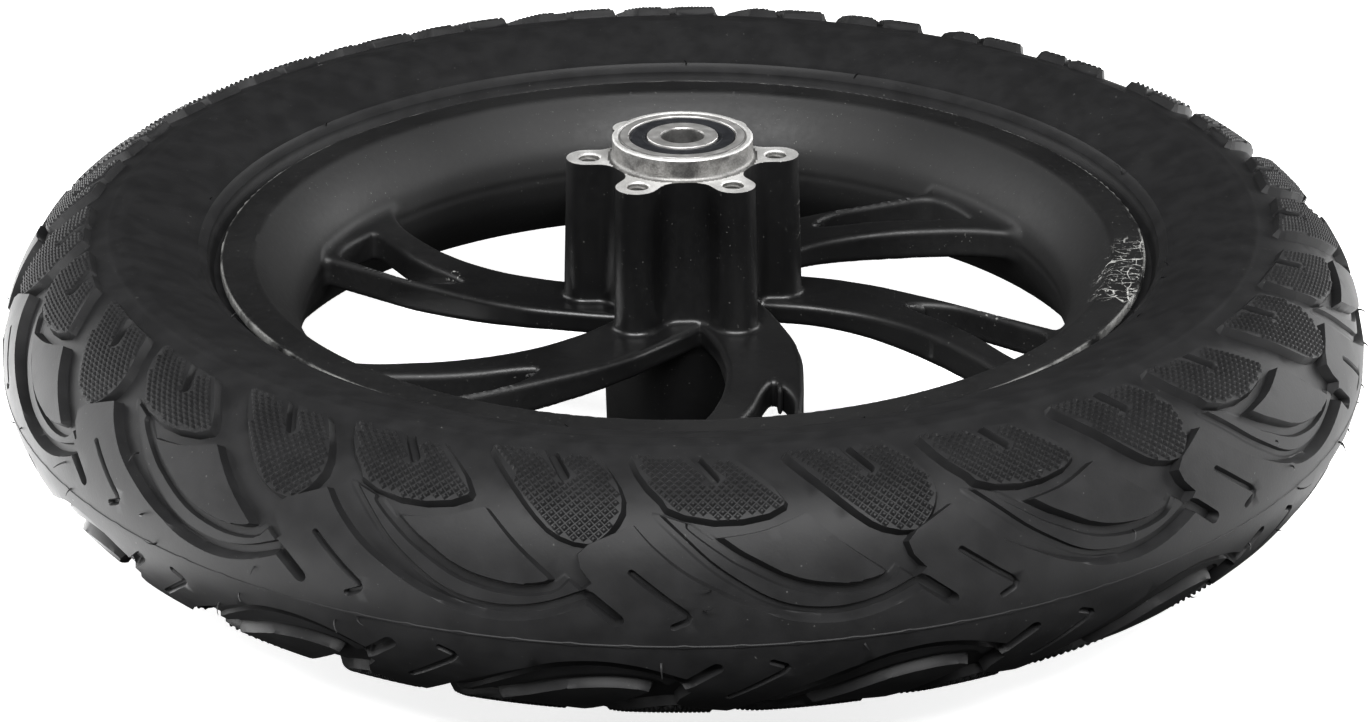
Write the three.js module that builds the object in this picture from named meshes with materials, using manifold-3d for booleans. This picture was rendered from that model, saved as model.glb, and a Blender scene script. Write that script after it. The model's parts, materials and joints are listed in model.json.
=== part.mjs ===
// A 12 1/2 inch cast-alloy scooter wheel: one aluminium casting with rim, six curved spokes and hub,
// a knobbly tyre with its inner tube and bent valve, and two sealed 6200 ball bearings with a spacer.
// Millimetres. +Z is the wheel's axis and points to the brake-disc side; the origin is the wheel's centre.
import * as THREE from 'three';
import { mergeVertices } from 'three/addons/utils/BufferGeometryUtils.js';
import Module from 'manifold-3d';

const wasm = await Module();
wasm.setup();

// ---- driving dimensions ----
const RIM_SEGMENTS = 48;
const TUBE_SEGMENTS = 30;
const HUB_SEGMENTS = 24;
const VALVE_SEGMENTS = 12;
const GAP = 0.3;

const FLANGE_R = 109.5;
const FLANGE_Z = 18.45;
const FLANGE_THICKNESS = 3.25;
const BEAD_SEAT_R = 101.5;
const WELL_R = 96.5;
const WELL_HALF_WIDTH = 6.5;
const BARREL_R = 91.5;

const TYRE_R = 161;
const TYRE_SECTION_R = 31;
const TREAD_THICKNESS = 6;

const SPOKE_COUNT = 6;
const FIRST_SPOKE_ANGLE = 52;
const SPOKE_TOP_Z = 3.6;
const SPOKE_ROOT_BOTTOM_Z = -2.0;
const SPOKE_RIM_BOTTOM_Z = -4.4;
const SPOKE_THICKENS_FROM_R = 30;
const SPOKE_THICKENS_TO_R = 70;
const SPOKE_END_R = 94;

const DISC_BOLT_CIRCLE_R = 22;
const FIRST_LOBE_ANGLE = 2;
const LOBE_TIP_R = 27.4;
const LOBE_HALF_WIDTH = 4.9;
const CORE_R = 17.5;
const CORE_FILLET_R = 3;
const DISC_FACE_Z = 38.7;
const COLUMN_TAPER = 0.05;
const BOSS_R = 16.57;
const HUB_HALF_LENGTH = 43.94;
const LOWER_BARREL_R = 18.5;
const HUB_BORE_R = 13;
const BOLT_HOLE_R = 2.1;
const BOLT_CHAMFER_R = 2.75;
const BOLT_HOLE_DEPTH = 16;

const BEARING_R = 15;
const BEARING_BORE_R = 5;
const BEARING_HALF_WIDTH = 4.5;
const BALL_COUNT = 8;
const BALL_PITCH_R = 10;
const BALL_R = 2.3;
const RACE_GROOVE_R = 2.55;
const SEAL_THICKNESS = 0.7;
const SEAT_CLEARANCE = 0.1;
const SPACER_R = 7;
const SPACER_BORE_R = 5.2;

const VALVE_ANGLE = 305.5;
const VALVE_STEM_R = 4;
const VALVE_BORE_R = 1.2;
const VALVE_ROOT_R = 101;
const VALVE_BEND_START_R = 87;
const VALVE_BEND_RADIUS = 7;
const VALVE_BEND_DEG = 50;
const VALVE_RUBBER_LENGTH = 9;
const VALVE_THREAD_LENGTH = 11;
const VALVE_THREAD_R = 3.6;
const CORE_SEAT_R = 2.4;
const CORE_SEAT_DEPTH = 14;

// ---- geometry helpers ----
const radians = (degrees) => THREE.MathUtils.degToRad(degrees);
const mirrored = (points) => points.map(([r, z]) => [r, -z]).reverse();

function signedVolume(geometry) {
  const p = geometry.getAttribute('position');
  const index = geometry.getIndex();
  const a = new THREE.Vector3();
  const b = new THREE.Vector3();
  const c = new THREE.Vector3();
  let sum = 0;
  for (let i = 0; i < index.count; i += 3) {
    a.fromBufferAttribute(p, index.getX(i));
    b.fromBufferAttribute(p, index.getX(i + 1));
    c.fromBufferAttribute(p, index.getX(i + 2));
    sum += a.dot(b.cross(c)) / 6;
  }
  return sum;
}

// A closed geometry as a solid, with its faces turned outwards.
function solid(geometry) {
  let g = geometry.clone();
  g.deleteAttribute('normal');
  g.deleteAttribute('uv');
  g = mergeVertices(g, 1e-4);
  const triVerts = Uint32Array.from(g.getIndex().array);
  if (signedVolume(g) < 0) {
    for (let i = 0; i < triVerts.length; i += 3) {
      [triVerts[i], triVerts[i + 1]] = [triVerts[i + 1], triVerts[i]];
    }
  }
  const kept = [];
  for (let i = 0; i < triVerts.length; i += 3) {
    const [a, b, c] = triVerts.slice(i, i + 3);
    if (a !== b && b !== c && c !== a) {
      kept.push(a, b, c);
    }
  }
  const vertProperties = Float32Array.from(g.getAttribute('position').array);
  return new wasm.Manifold(new wasm.Mesh({ numProp: 3, vertProperties, triVerts: Uint32Array.from(kept) }));
}

function geometryOf(manifold) {
  const mesh = manifold.getMesh();
  const g = new THREE.BufferGeometry();
  g.setAttribute('position', new THREE.BufferAttribute(Float32Array.from(mesh.vertProperties), 3));
  g.setIndex(new THREE.BufferAttribute(Uint32Array.from(mesh.triVerts), 1));
  g.computeVertexNormals();
  return g;
}

// A ring or a solid of revolution about Z from a closed outline of [radius, height] points.
function revolved(outline, segments = HUB_SEGMENTS) {
  const points = [...outline, outline[0]].map(([r, z]) => new THREE.Vector2(r, z));
  const g = new THREE.LatheGeometry(points, segments);
  g.rotateX(Math.PI / 2);
  return solid(g);
}

// A solid of revolution whose outline starts and ends on the axis.
function turned(outline, segments = HUB_SEGMENTS) {
  const g = new THREE.LatheGeometry(outline.map(([r, z]) => new THREE.Vector2(r, z)), segments);
  g.rotateX(Math.PI / 2);
  return solid(g);
}

const cylinder = (r, z0, z1, segments = HUB_SEGMENTS) => turned([[0, z0], [r, z0], [r, z1], [0, z1]], segments);

const placed = (manifold, matrix) => solid(geometryOf(manifold).applyMatrix4(matrix));

const turnedAboutZ = (degrees) => new THREE.Matrix4().makeRotationZ(radians(degrees));

function joined(manifolds) {
  return manifolds.reduce((sum, next) => sum.add(next));
}

// ---- rim ----
function rimOutline() {
  const flangeInnerZ = FLANGE_Z - FLANGE_THICKNESS;
  const tyreSide = [
    [FLANGE_R, FLANGE_Z - 2],
    [FLANGE_R - 1.2, flangeInnerZ + 0.3],
    [BEAD_SEAT_R + 1.8, flangeInnerZ],
    [BEAD_SEAT_R, flangeInnerZ - 1.4],
    [BEAD_SEAT_R - 0.3, 9.5],
    [WELL_R, WELL_HALF_WIDTH],
  ];
  const hubSide = [
    [BARREL_R, 2.2],
    [BARREL_R + 1.1, 6.6],
    [BARREL_R + 3.5, 10.8],
    [BARREL_R + 6.7, 14.8],
    [FLANGE_R - 8.1, FLANGE_Z - 0.4],
    [FLANGE_R - 7.5, FLANGE_Z],
    [FLANGE_R, FLANGE_Z],
  ];
  return [...tyreSide, ...mirrored(tyreSide), ...mirrored(hubSide), ...hubSide];
}

// ---- spokes ----
const LEADING_EDGE = [
  [93.4, -11.5], [81.3, -5.6], [66, 2.3], [55, 7.3], [46.6, 10.8], [40, 12.7], [33, 14.2], [17.6, 15.4], [8, 15],
];
const TRAILING_EDGE = [
  [8, -4], [27.3, -3.8], [38.9, -5.8], [46.6, -8.3], [54.3, -12.3], [60, -16.3], [65.3, -20.8],
  [74.5, -31], [79.5, -40], [81.4, -47],
];
const POCKET = [[53.5, 0.4], [61.5, 1.6], [87.8, -11.4], [82.6, -28.4]];
const POCKET_CORNER_R = 1.5;

const vector = ([x, y]) => new THREE.Vector2(x, y);

// A closed outline of straight sides with its corners rounded to one radius.
function roundedPolygon(corners, radius, Kind = THREE.Shape) {
  const shape = new Kind();
  const n = corners.length;
  corners.forEach((corner, i) => {
    const here = vector(corner);
    const toPrevious = vector(corners[(i + n - 1) % n]).sub(here).normalize();
    const toNext = vector(corners[(i + 1) % n]).sub(here).normalize();
    const halfAngle = Math.acos(toPrevious.dot(toNext)) / 2;
    const setback = radius / Math.tan(halfAngle);
    const start = here.clone().addScaledVector(toPrevious, setback);
    const end = here.clone().addScaledVector(toNext, setback);
    if (i === 0) {
      shape.moveTo(start.x, start.y);
    } else {
      shape.lineTo(start.x, start.y);
    }
    shape.quadraticCurveTo(here.x, here.y, end.x, end.y);
  });
  shape.closePath();
  return shape;
}

function spokeShape() {
  const shape = new THREE.Shape();
  shape.moveTo(...TRAILING_EDGE[0]);
  shape.splineThru(TRAILING_EDGE.slice(1).map(vector));
  const from = Math.atan2(TRAILING_EDGE.at(-1)[1], TRAILING_EDGE.at(-1)[0]);
  const to = Math.atan2(LEADING_EDGE[0][1], LEADING_EDGE[0][0]);
  shape.absarc(0, 0, SPOKE_END_R, from, to, false);
  shape.splineThru(LEADING_EDGE.slice(1).map(vector));
  shape.closePath();
  shape.holes.push(roundedPolygon(POCKET, POCKET_CORNER_R, THREE.Path));
  return shape;
}

// The spokes get thicker towards the rim: the lower face slopes down and the upper face stays level.
function spoke(angle) {
  const g = new THREE.ExtrudeGeometry(spokeShape(), { depth: 1, bevelEnabled: false, curveSegments: 2 });
  const p = g.getAttribute('position');
  for (let i = 0; i < p.count; i += 1) {
    const r = Math.hypot(p.getX(i), p.getY(i));
    const t = THREE.MathUtils.smoothstep(r, SPOKE_THICKENS_FROM_R, SPOKE_THICKENS_TO_R);
    const bottom = THREE.MathUtils.lerp(SPOKE_ROOT_BOTTOM_Z, SPOKE_RIM_BOTTOM_Z, t);
    p.setZ(i, p.getZ(i) > 0.5 ? SPOKE_TOP_Z : bottom);
  }
  return solid(g.applyMatrix4(turnedAboutZ(angle)));
}

// ---- hub ----
// A round core with six radial tabs, each with a round tip and a filleted root.
function lobedShape() {
  const shape = new THREE.Shape();
  const filletCentre = LOBE_HALF_WIDTH + CORE_FILLET_R;
  const centreR = CORE_R + CORE_FILLET_R;
  const filletAngle = Math.asin(filletCentre / centreR);
  const filletU = Math.sqrt(centreR ** 2 - filletCentre ** 2);
  for (let k = 0; k < SPOKE_COUNT; k += 1) {
    const a = radians(FIRST_LOBE_ANGLE + (360 / SPOKE_COUNT) * k);
    const at = (u, v) => [u * Math.cos(a) - v * Math.sin(a), u * Math.sin(a) + v * Math.cos(a)];
    const tip = at(LOBE_TIP_R - LOBE_HALF_WIDTH, 0);
    const lower = at(filletU, -filletCentre);
    const upper = at(filletU, filletCentre);
    const entry = a - filletAngle;
    if (k === 0) {
      shape.moveTo(CORE_R * Math.cos(entry), CORE_R * Math.sin(entry));
    }
    shape.absarc(...lower, CORE_FILLET_R, entry + Math.PI, a + Math.PI / 2, true);
    shape.absarc(...tip, LOBE_HALF_WIDTH, a - Math.PI / 2, a + Math.PI / 2, false);
    shape.absarc(...upper, CORE_FILLET_R, a - Math.PI / 2, a + filletAngle - Math.PI, true);
    shape.absarc(0, 0, CORE_R, a + filletAngle, a + radians(360 / SPOKE_COUNT) - filletAngle, false);
  }
  shape.closePath();
  return shape;
}

function lobedColumn() {
  const depth = DISC_FACE_Z - SPOKE_ROOT_BOTTOM_Z;
  const g = new THREE.ExtrudeGeometry(lobedShape(), { depth, bevelEnabled: false, curveSegments: 3 });
  const p = g.getAttribute('position');
  for (let i = 0; i < p.count; i += 1) {
    const scale = 1 + COLUMN_TAPER * (1 - p.getZ(i) / depth);
    p.setXY(i, p.getX(i) * scale, p.getY(i) * scale);
  }
  return solid(g.translate(0, 0, SPOKE_ROOT_BOTTOM_Z));
}

function boltHole(index) {
  const chamferDepth = BOLT_CHAMFER_R - BOLT_HOLE_R;
  const hole = turned([
    [0, DISC_FACE_Z - BOLT_HOLE_DEPTH],
    [BOLT_HOLE_R, DISC_FACE_Z - BOLT_HOLE_DEPTH + 1],
    [BOLT_HOLE_R, DISC_FACE_Z - chamferDepth],
    [BOLT_CHAMFER_R + 1, DISC_FACE_Z + 1],
    [0, DISC_FACE_Z + 1],
  ], VALVE_SEGMENTS);
  const a = radians(FIRST_LOBE_ANGLE + (360 / SPOKE_COUNT) * index);
  const x = DISC_BOLT_CIRCLE_R * Math.cos(a);
  const y = DISC_BOLT_CIRCLE_R * Math.sin(a);
  return placed(hole, new THREE.Matrix4().makeTranslation(x, y, 0));
}

function hubBore() {
  const seatR = BEARING_R + SEAT_CLEARANCE;
  const seatZ = HUB_HALF_LENGTH - 2 * BEARING_HALF_WIDTH - GAP;
  const end = HUB_HALF_LENGTH + 1;
  const upper = [[0, end], [seatR, end], [seatR, seatZ], [HUB_BORE_R, seatZ]];
  return turned([...upper, ...mirrored(upper)].reverse());
}

// ---- valve ----
// Matrix of a frame on the valve's line: x runs along the wheel's tangent and z points out of the valve.
function valveFrames() {
  const bend = radians(VALVE_BEND_DEG);
  const rim = turnedAboutZ(VALVE_ANGLE);
  const arc = [];
  const arcSteps = 5;
  for (let i = 0; i <= arcSteps; i += 1) {
    const t = (bend * i) / arcSteps;
    const u = VALVE_BEND_START_R - VALVE_BEND_RADIUS * Math.sin(t);
    arc.push(new THREE.Vector3(u, 0, -VALVE_BEND_RADIUS * (1 - Math.cos(t))));
  }
  const direction = new THREE.Vector3(-Math.cos(bend), 0, -Math.sin(bend));
  const bendEnd = arc.at(-1);
  const rubberEnd = bendEnd.clone().addScaledVector(direction, VALVE_RUBBER_LENGTH);
  const tilt = new THREE.Matrix4().makeRotationFromQuaternion(
    new THREE.Quaternion().setFromUnitVectors(new THREE.Vector3(0, 0, 1), direction),
  );
  const tip = new THREE.Matrix4().makeTranslation(rubberEnd.x, rubberEnd.y, rubberEnd.z).multiply(tilt);
  return { line: [new THREE.Vector3(VALVE_ROOT_R, 0, 0), ...arc, rubberEnd], tip: rim.clone().multiply(tip), rim };
}

const valve = valveFrames();

function polyline(points) {
  const path = new THREE.CurvePath();
  for (let i = 1; i < points.length; i += 1) {
    path.add(new THREE.LineCurve3(points[i - 1], points[i]));
  }
  return path;
}

function circle(radius, Kind = THREE.Shape) {
  const shape = new Kind();
  shape.absarc(0, 0, radius, 0, 2 * Math.PI, false);
  return shape;
}

function valveStem() {
  const options = { steps: 10, bevelEnabled: false, extrudePath: polyline(valve.line), curveSegments: 5 };
  const bentBar = solid(new THREE.ExtrudeGeometry(circle(VALVE_STEM_R), options).applyMatrix4(valve.rim));
  const bentBore = solid(new THREE.ExtrudeGeometry(circle(VALVE_BORE_R), options).applyMatrix4(valve.rim));
  const thread = placed(cylinder(VALVE_THREAD_R, -1, VALVE_THREAD_LENGTH, VALVE_SEGMENTS), valve.tip);
  const seatBottom = VALVE_THREAD_LENGTH - CORE_SEAT_DEPTH;
  const seat = placed(cylinder(CORE_SEAT_R, seatBottom, VALVE_THREAD_LENGTH + 1, VALVE_SEGMENTS), valve.tip);
  return bentBar.add(thread).subtract(bentBore).subtract(seat);
}

function valveCore() {
  const top = VALVE_THREAD_LENGTH - 0.5;
  const bottom = top - 11;
  const outer = CORE_SEAT_R - GAP;
  return placed(revolved([[0.9, bottom], [outer, bottom], [outer, top], [0.9, top]], VALVE_SEGMENTS), valve.tip);
}

function valvePin() {
  const top = VALVE_THREAD_LENGTH + 1.6;
  const neck = top - 0.4;
  const foot = VALVE_THREAD_LENGTH - 12.2;
  return placed(turned([[0, foot], [0.5, foot], [0.5, neck], [0.75, neck], [0.75, top], [0, top]], 12), valve.tip);
}

function valveCap() {
  const open = 1.2;
  const roof = VALVE_THREAD_LENGTH + 2.4;
  const end = roof + 1.4;
  const inside = VALVE_THREAD_R + GAP;
  return placed(turned([
    [0, end], [3.6, end], [4.7, end - 0.9], [4.9, open], [inside, open], [inside, roof - 0.8], [2.6, roof], [0, roof],
  ].reverse(), VALVE_SEGMENTS), valve.tip);
}

// The hole that the valve's stem needs through a ring, along the wheel's radius.
function valveHole(radius) {
  const lying = new THREE.Matrix4().makeRotationY(Math.PI / 2);
  return placed(cylinder(radius, 80, 108, VALVE_SEGMENTS), valve.rim.clone().multiply(lying));
}

// ---- the casting ----
function casting() {
  const spokes = [];
  for (let k = 0; k < SPOKE_COUNT; k += 1) {
    spokes.push(spoke(FIRST_SPOKE_ANGLE + (360 / SPOKE_COUNT) * k));
  }
  const boss = cylinder(BOSS_R, DISC_FACE_Z - 2, HUB_HALF_LENGTH);
  const lowerBarrel = turned([
    [0, -HUB_HALF_LENGTH], [LOWER_BARREL_R - 0.8, -HUB_HALF_LENGTH], [LOWER_BARREL_R - 0.3, -HUB_HALF_LENGTH + 0.6],
    [LOWER_BARREL_R + 0.6, SPOKE_ROOT_BOTTOM_Z + 1], [0, SPOKE_ROOT_BOTTOM_Z + 1],
  ]);
  let body = joined([revolved(rimOutline(), RIM_SEGMENTS), ...spokes, lobedColumn(), boss, lowerBarrel]);
  body = body.subtract(hubBore()).subtract(valveHole(VALVE_STEM_R + 0.5));
  for (let k = 0; k < SPOKE_COUNT; k += 1) {
    body = body.subtract(boltHole(k));
  }
  return body;
}

// ---- tyre, tube and rim strip ----
function sectionArc(centreR, radius, fromDeg, stepDeg) {
  const points = [];
  for (let a = fromDeg; a > 0; a -= stepDeg) {
    points.push([centreR + radius * Math.cos(radians(a)), radius * Math.sin(radians(a))]);
  }
  return points;
}

const SECTION_CENTRE_R = TYRE_R - TYRE_SECTION_R;

function tyre() {
  const outside = [
    [BEAD_SEAT_R + GAP, 9.6], [BEAD_SEAT_R + GAP, 13.6], [BEAD_SEAT_R + 2, 14.8], [FLANGE_R - 1.2, 14.9],
    [FLANGE_R + 1.2, 16.8], [FLANGE_R + 3.6, 20.8], [FLANGE_R + 11, 24.6],
    ...sectionArc(SECTION_CENTRE_R, TYRE_SECTION_R, 75, 19),
  ];
  const inside = [
    ...sectionArc(SECTION_CENTRE_R, TYRE_SECTION_R - TREAD_THICKNESS, 76, 38).reverse(),
    [121, 20.4], [112, 14.8], [106, 9.4], [102.4, 9.0],
  ];
  const crown = [[TYRE_R, 0]];
  const cavity = [[TYRE_R - TREAD_THICKNESS, 0]];
  return revolved([...outside, ...crown, ...mirrored(outside), ...mirrored(inside), ...cavity, ...inside],
    RIM_SEGMENTS);
}

function innerTube() {
  const half = [
    [98.3, 4.2], [101, 7.4], [105.6, 8.4], [111.6, 13.2], [121, 19], [135.6, 22.6], [149.6, 12.2],
  ];
  const centreR = 126;
  const wall = 0.93;
  const section = [...half, [153.4, 0], ...mirrored(half)];
  const core = section.map(([r, z]) => [centreR + (r - centreR) * wall, z * wall]);
  return revolved(section, TUBE_SEGMENTS).subtract(revolved(core, TUBE_SEGMENTS)).subtract(valveHole(VALVE_STEM_R + GAP));
}

function rimStrip() {
  const inner = WELL_R + GAP;
  const outer = inner + 0.8;
  const half = WELL_HALF_WIDTH - 1.5;
  return revolved([[inner, -half], [outer, -half], [outer, half], [inner, half]], RIM_SEGMENTS)
    .subtract(valveHole(VALVE_STEM_R + GAP));
}

// ---- bearings ----
const GROOVE_ANGLES = [-38.3, -14, 14, 38.3];

function raceGroove(side) {
  return GROOVE_ANGLES.map((a) => [
    BALL_PITCH_R + side * RACE_GROOVE_R * Math.cos(radians(a)),
    RACE_GROOVE_R * Math.sin(radians(a)),
  ]);
}

function outerRing() {
  const w = BEARING_HALF_WIDTH;
  const step = w - 1.1;
  return revolved([
    [BEARING_R, -w + 0.4], [BEARING_R, w - 0.4], [BEARING_R - 0.4, w], [12.7, w], [12.7, step], [12, step],
    ...raceGroove(1).reverse(), [12, -step], [12.7, -step], [12.7, -w], [BEARING_R - 0.4, -w],
  ]);
}

function innerRing() {
  const w = BEARING_HALF_WIDTH;
  const chamfer = 0.6;
  return revolved([
    [BEARING_BORE_R, -w + chamfer], [BEARING_BORE_R + chamfer, -w], [8.35, -w], [8.35, -w + 1], [8, -w + 1.3],
    ...raceGroove(-1), [8, w - 1.3], [8.35, w - 1], [8.35, w], [BEARING_BORE_R + chamfer, w],
    [BEARING_BORE_R, w - chamfer],
  ]);
}

function seal(side) {
  const inner = 8.35 + GAP;
  const outer = 12.7 - GAP;
  const far = side * (BEARING_HALF_WIDTH - 0.25);
  const near = side * (BEARING_HALF_WIDTH - 0.25 - SEAL_THICKNESS);
  return revolved([[inner, near], [outer, near], [outer, far], [inner, far]]);
}

function ballCage() {
  let cage = revolved([[9, -3.1], [11, -3.1], [11, 1], [9, 1]]);
  const lying = new THREE.Matrix4().makeRotationY(Math.PI / 2);
  const pocket = placed(cylinder(BALL_R + 0.35, BALL_PITCH_R - 2, BALL_PITCH_R + 2, 10), lying);
  for (let k = 0; k < BALL_COUNT; k += 1) {
    cage = cage.subtract(placed(pocket, turnedAboutZ((360 / BALL_COUNT) * k)));
  }
  return cage;
}

function spacerTube() {
  const end = HUB_HALF_LENGTH - 2 * BEARING_HALF_WIDTH - GAP;
  return revolved([[SPACER_BORE_R, -end], [SPACER_R, -end], [SPACER_R, end], [SPACER_BORE_R, end]]);
}

// ---- materials ----
const finish = (color, roughness, metalness) => new THREE.MeshStandardMaterial({ color, roughness, metalness });
const blackPaint = finish(0x17181a, 0.42, 0);
const tyreRubber = finish(0x2e2f31, 0.75, 0);
const tubeRubber = finish(0x1c1c1c, 0.6, 0);
const sealRubber = finish(0x24262c, 0.6, 0);
const bearingSteel = finish(0xb9b8b4, 0.3, 1);
const cageNylon = finish(0xd8d2c0, 0.5, 0);
const brass = finish(0xb08d4a, 0.35, 1);
const capPlastic = finish(0x111111, 0.5, 0);
const spacerAluminium = finish(0xc4c4c2, 0.35, 1);

// ---- assembly ----
const wheel = new THREE.Group();

function add(name, manifold, material, parent = wheel) {
  const mesh = new THREE.Mesh(geometryOf(manifold), material);
  mesh.name = name;
  parent.add(mesh);
}

// side is +1 for the bearing on the disc side, -1 for the other one.
function addBearing(prefix, side) {
  const bearing = new THREE.Group();
  bearing.position.z = side * (HUB_HALF_LENGTH - BEARING_HALF_WIDTH);
  add(`${prefix}_outer_ring`, outerRing(), bearingSteel, bearing);
  add(`${prefix}_inner_ring`, innerRing(), bearingSteel, bearing);
  add(`${prefix}_outboard_seal`, seal(side), sealRubber, bearing);
  add(`${prefix}_inboard_seal`, seal(-side), sealRubber, bearing);
  add(`${prefix}_ball_cage`, ballCage(), cageNylon, bearing);
  const ball = solid(new THREE.IcosahedronGeometry(BALL_R, 1));
  for (let k = 0; k < BALL_COUNT; k += 1) {
    const a = radians((360 / BALL_COUNT) * k);
    const mesh = new THREE.Mesh(geometryOf(ball), bearingSteel);
    mesh.name = `${prefix}_ball_${k + 1}`;
    mesh.position.set(BALL_PITCH_R * Math.cos(a), BALL_PITCH_R * Math.sin(a), 0);
    bearing.add(mesh);
  }
  wheel.add(bearing);
}

add('wheel_casting', casting(), blackPaint);
add('tyre', tyre(), tyreRubber);
add('inner_tube', innerTube(), tubeRubber);
add('rim_strip', rimStrip(), tubeRubber);
add('valve_stem', valveStem(), tubeRubber);
add('valve_core', valveCore(), brass);
add('valve_pin', valvePin(), brass);
add('valve_cap', valveCap(), capPlastic);
add('bearing_spacer', spacerTube(), spacerAluminium);
addBearing('upper_bearing', 1);
addBearing('lower_bearing', -1);

export default wheel;
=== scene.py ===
import json
import math

import bpy
import numpy as np
from mathutils import Matrix, Vector
from mathutils.geometry import delaunay_2d_cdt


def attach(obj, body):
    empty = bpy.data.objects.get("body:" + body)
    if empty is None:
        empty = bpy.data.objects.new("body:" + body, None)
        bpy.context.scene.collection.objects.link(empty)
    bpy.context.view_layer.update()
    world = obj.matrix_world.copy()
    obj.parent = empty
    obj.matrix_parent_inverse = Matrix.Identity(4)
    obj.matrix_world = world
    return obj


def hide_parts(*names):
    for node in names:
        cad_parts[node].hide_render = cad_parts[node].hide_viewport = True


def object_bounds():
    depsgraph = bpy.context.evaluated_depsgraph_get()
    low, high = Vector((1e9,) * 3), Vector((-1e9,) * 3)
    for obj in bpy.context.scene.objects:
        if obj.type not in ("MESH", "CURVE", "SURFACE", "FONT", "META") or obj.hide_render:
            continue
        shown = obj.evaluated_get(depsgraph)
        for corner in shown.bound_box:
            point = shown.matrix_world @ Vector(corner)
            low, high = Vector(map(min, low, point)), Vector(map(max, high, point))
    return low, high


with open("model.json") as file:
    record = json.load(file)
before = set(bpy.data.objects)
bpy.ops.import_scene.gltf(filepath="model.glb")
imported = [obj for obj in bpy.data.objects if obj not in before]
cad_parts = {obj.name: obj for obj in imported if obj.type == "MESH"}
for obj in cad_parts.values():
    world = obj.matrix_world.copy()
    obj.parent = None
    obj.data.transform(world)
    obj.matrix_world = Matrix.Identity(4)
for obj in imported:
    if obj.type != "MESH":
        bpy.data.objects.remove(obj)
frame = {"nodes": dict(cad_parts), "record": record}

CAD_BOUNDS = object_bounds()
MM = 0.001

# ---------------------------------------------------------------- dimensions, mm
FLANGE_R, FLANGE_Z = 109.5, 18.45
BARREL_R, WELL_R = 91.5, 96.5
TYRE_SECTION_CENTRE_R, TYRE_SECTION_R = 130.0, 31.0
SPOKE_COUNT, FIRST_SPOKE_ANGLE, FIRST_LOBE_ANGLE = 6, 52.0, 2.0
SPOKE_TOP_Z, SPOKE_ROOT_BOTTOM_Z, SPOKE_RIM_BOTTOM_Z = 3.6, -2.0, -4.4
SPOKE_THICKENS_FROM_R, SPOKE_THICKENS_TO_R, SPOKE_END_R = 30.0, 70.0, 94.0
SPOKE_EDGE_R = 1.5
SPOKE_TO_RIM_FILLET, SPOKE_TO_COLUMN_FILLET, SPOKE_TO_BARREL_FILLET = 2.4, 1.3, 2.2
DISC_FACE_Z, HUB_HALF_LENGTH = 38.7, 43.94
BOLT_CIRCLE_R, LOBE_TIP_R, LOBE_HALF_WIDTH, CORE_R, CORE_FILLET_R = 22.0, 27.4, 4.9, 17.5, 3.0
COLUMN_TAPER = 0.05
BOSS_R, BOSS_FILLET, LOWER_BARREL_R, HUB_BORE_R, SEAT_R, SEAT_Z = 16.57, 1.0, 18.5, 13.0, 15.1, 34.64
BOSS_CHAMFER, LOWER_BARREL_CHAMFER, SEAT_CHAMFER, LOWER_BARREL_TAPER = 0.4, 0.7, 0.35, 0.9
BOSS_FOOT_Z, COLUMN_FOOT_Z = 20, -1
BOLT_HOLE_R, BOLT_THREAD_R, BOLT_CHAMFER_R, BOLT_CHAMFER_HEIGHT, BOLT_HOLE_DEPTH = 2.1, 2.5, 2.85, 0.5, 16.0
BOLT_THREAD_PITCH, BOLT_THREAD_TURNS, BOLT_THREAD_TOP_GAP, BOLT_THREAD_SINK = 0.8, 16, 0.75, 0.12
VALVE_ANGLE, VALVE_HOLE_R, VALVE_HOLE_FROM_R = 305.5, 4.5, 80
DIAGONAL = 0.7071
LEADING_EDGE = [(93.4, -11.5), (81.3, -5.6), (66, 2.3), (55, 7.3), (46.6, 10.8), (40, 12.7), (33, 14.2), (17.6, 15.4),
                (8, 15)]
TRAILING_EDGE = [(8, -4), (27.3, -3.8), (38.9, -5.8), (46.6, -8.3), (54.3, -12.3), (60, -16.3), (65.3, -20.8),
                 (74.5, -31), (79.5, -40), (81.4, -47)]
POCKET = [(54.5, 0.3), (60, 1.3), (66, 0.2), (73, -3.3), (80, -7.4), (86.5, -11.6), (87.4, -16), (86.3, -21),
          (84, -26), (82.5, -27.8), (80.3, -26.5), (76, -21.3), (71, -15.2), (64.6, -9), (60, -5.6), (56, -2.3)]
POCKET_RIB, POCKET_RIB_HALF_WIDTH = [(52, 2.2), (57.8, 0.2)], 0.55


# ---------------------------------------------------------------- mesh helpers
def stand_in(node, points_mm, faces, materials, face_material=None, sharp_deg=None, body="wheel"):
    """A mesh from points in mm and arrays of faces, that rides on a CAD body and takes a CAD node's place."""
    mesh = bpy.data.meshes.new(node + "_visual")
    points = np.asarray(points_mm, float) * MM
    mesh.vertices.add(len(points))
    mesh.vertices.foreach_set("co", points.astype(np.float32).ravel())
    arrays = [np.asarray(f, np.int32) for f in faces if len(f)]
    sizes = np.concatenate([np.full(len(f), f.shape[1], np.int32) for f in arrays])
    corners = np.concatenate([f.ravel() for f in arrays])
    mesh.loops.add(len(corners))
    mesh.loops.foreach_set("vertex_index", corners)
    mesh.polygons.add(len(sizes))
    mesh.polygons.foreach_set("loop_start", np.concatenate([[0], np.cumsum(sizes)[:-1]]).astype(np.int32))
    if face_material is not None:
        mesh.polygons.foreach_set("material_index", np.asarray(face_material, np.int32))
    for material in materials:
        mesh.materials.append(material)
    mesh.update(calc_edges=True)
    mesh.validate()
    mesh.shade_smooth()
    if sharp_deg is not None:
        mesh.set_sharp_from_angle(angle=math.radians(sharp_deg))
    obj = bpy.data.objects.new(node + "_visual", mesh)
    bpy.context.scene.collection.objects.link(obj)
    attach(obj, body)
    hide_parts(node)


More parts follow.
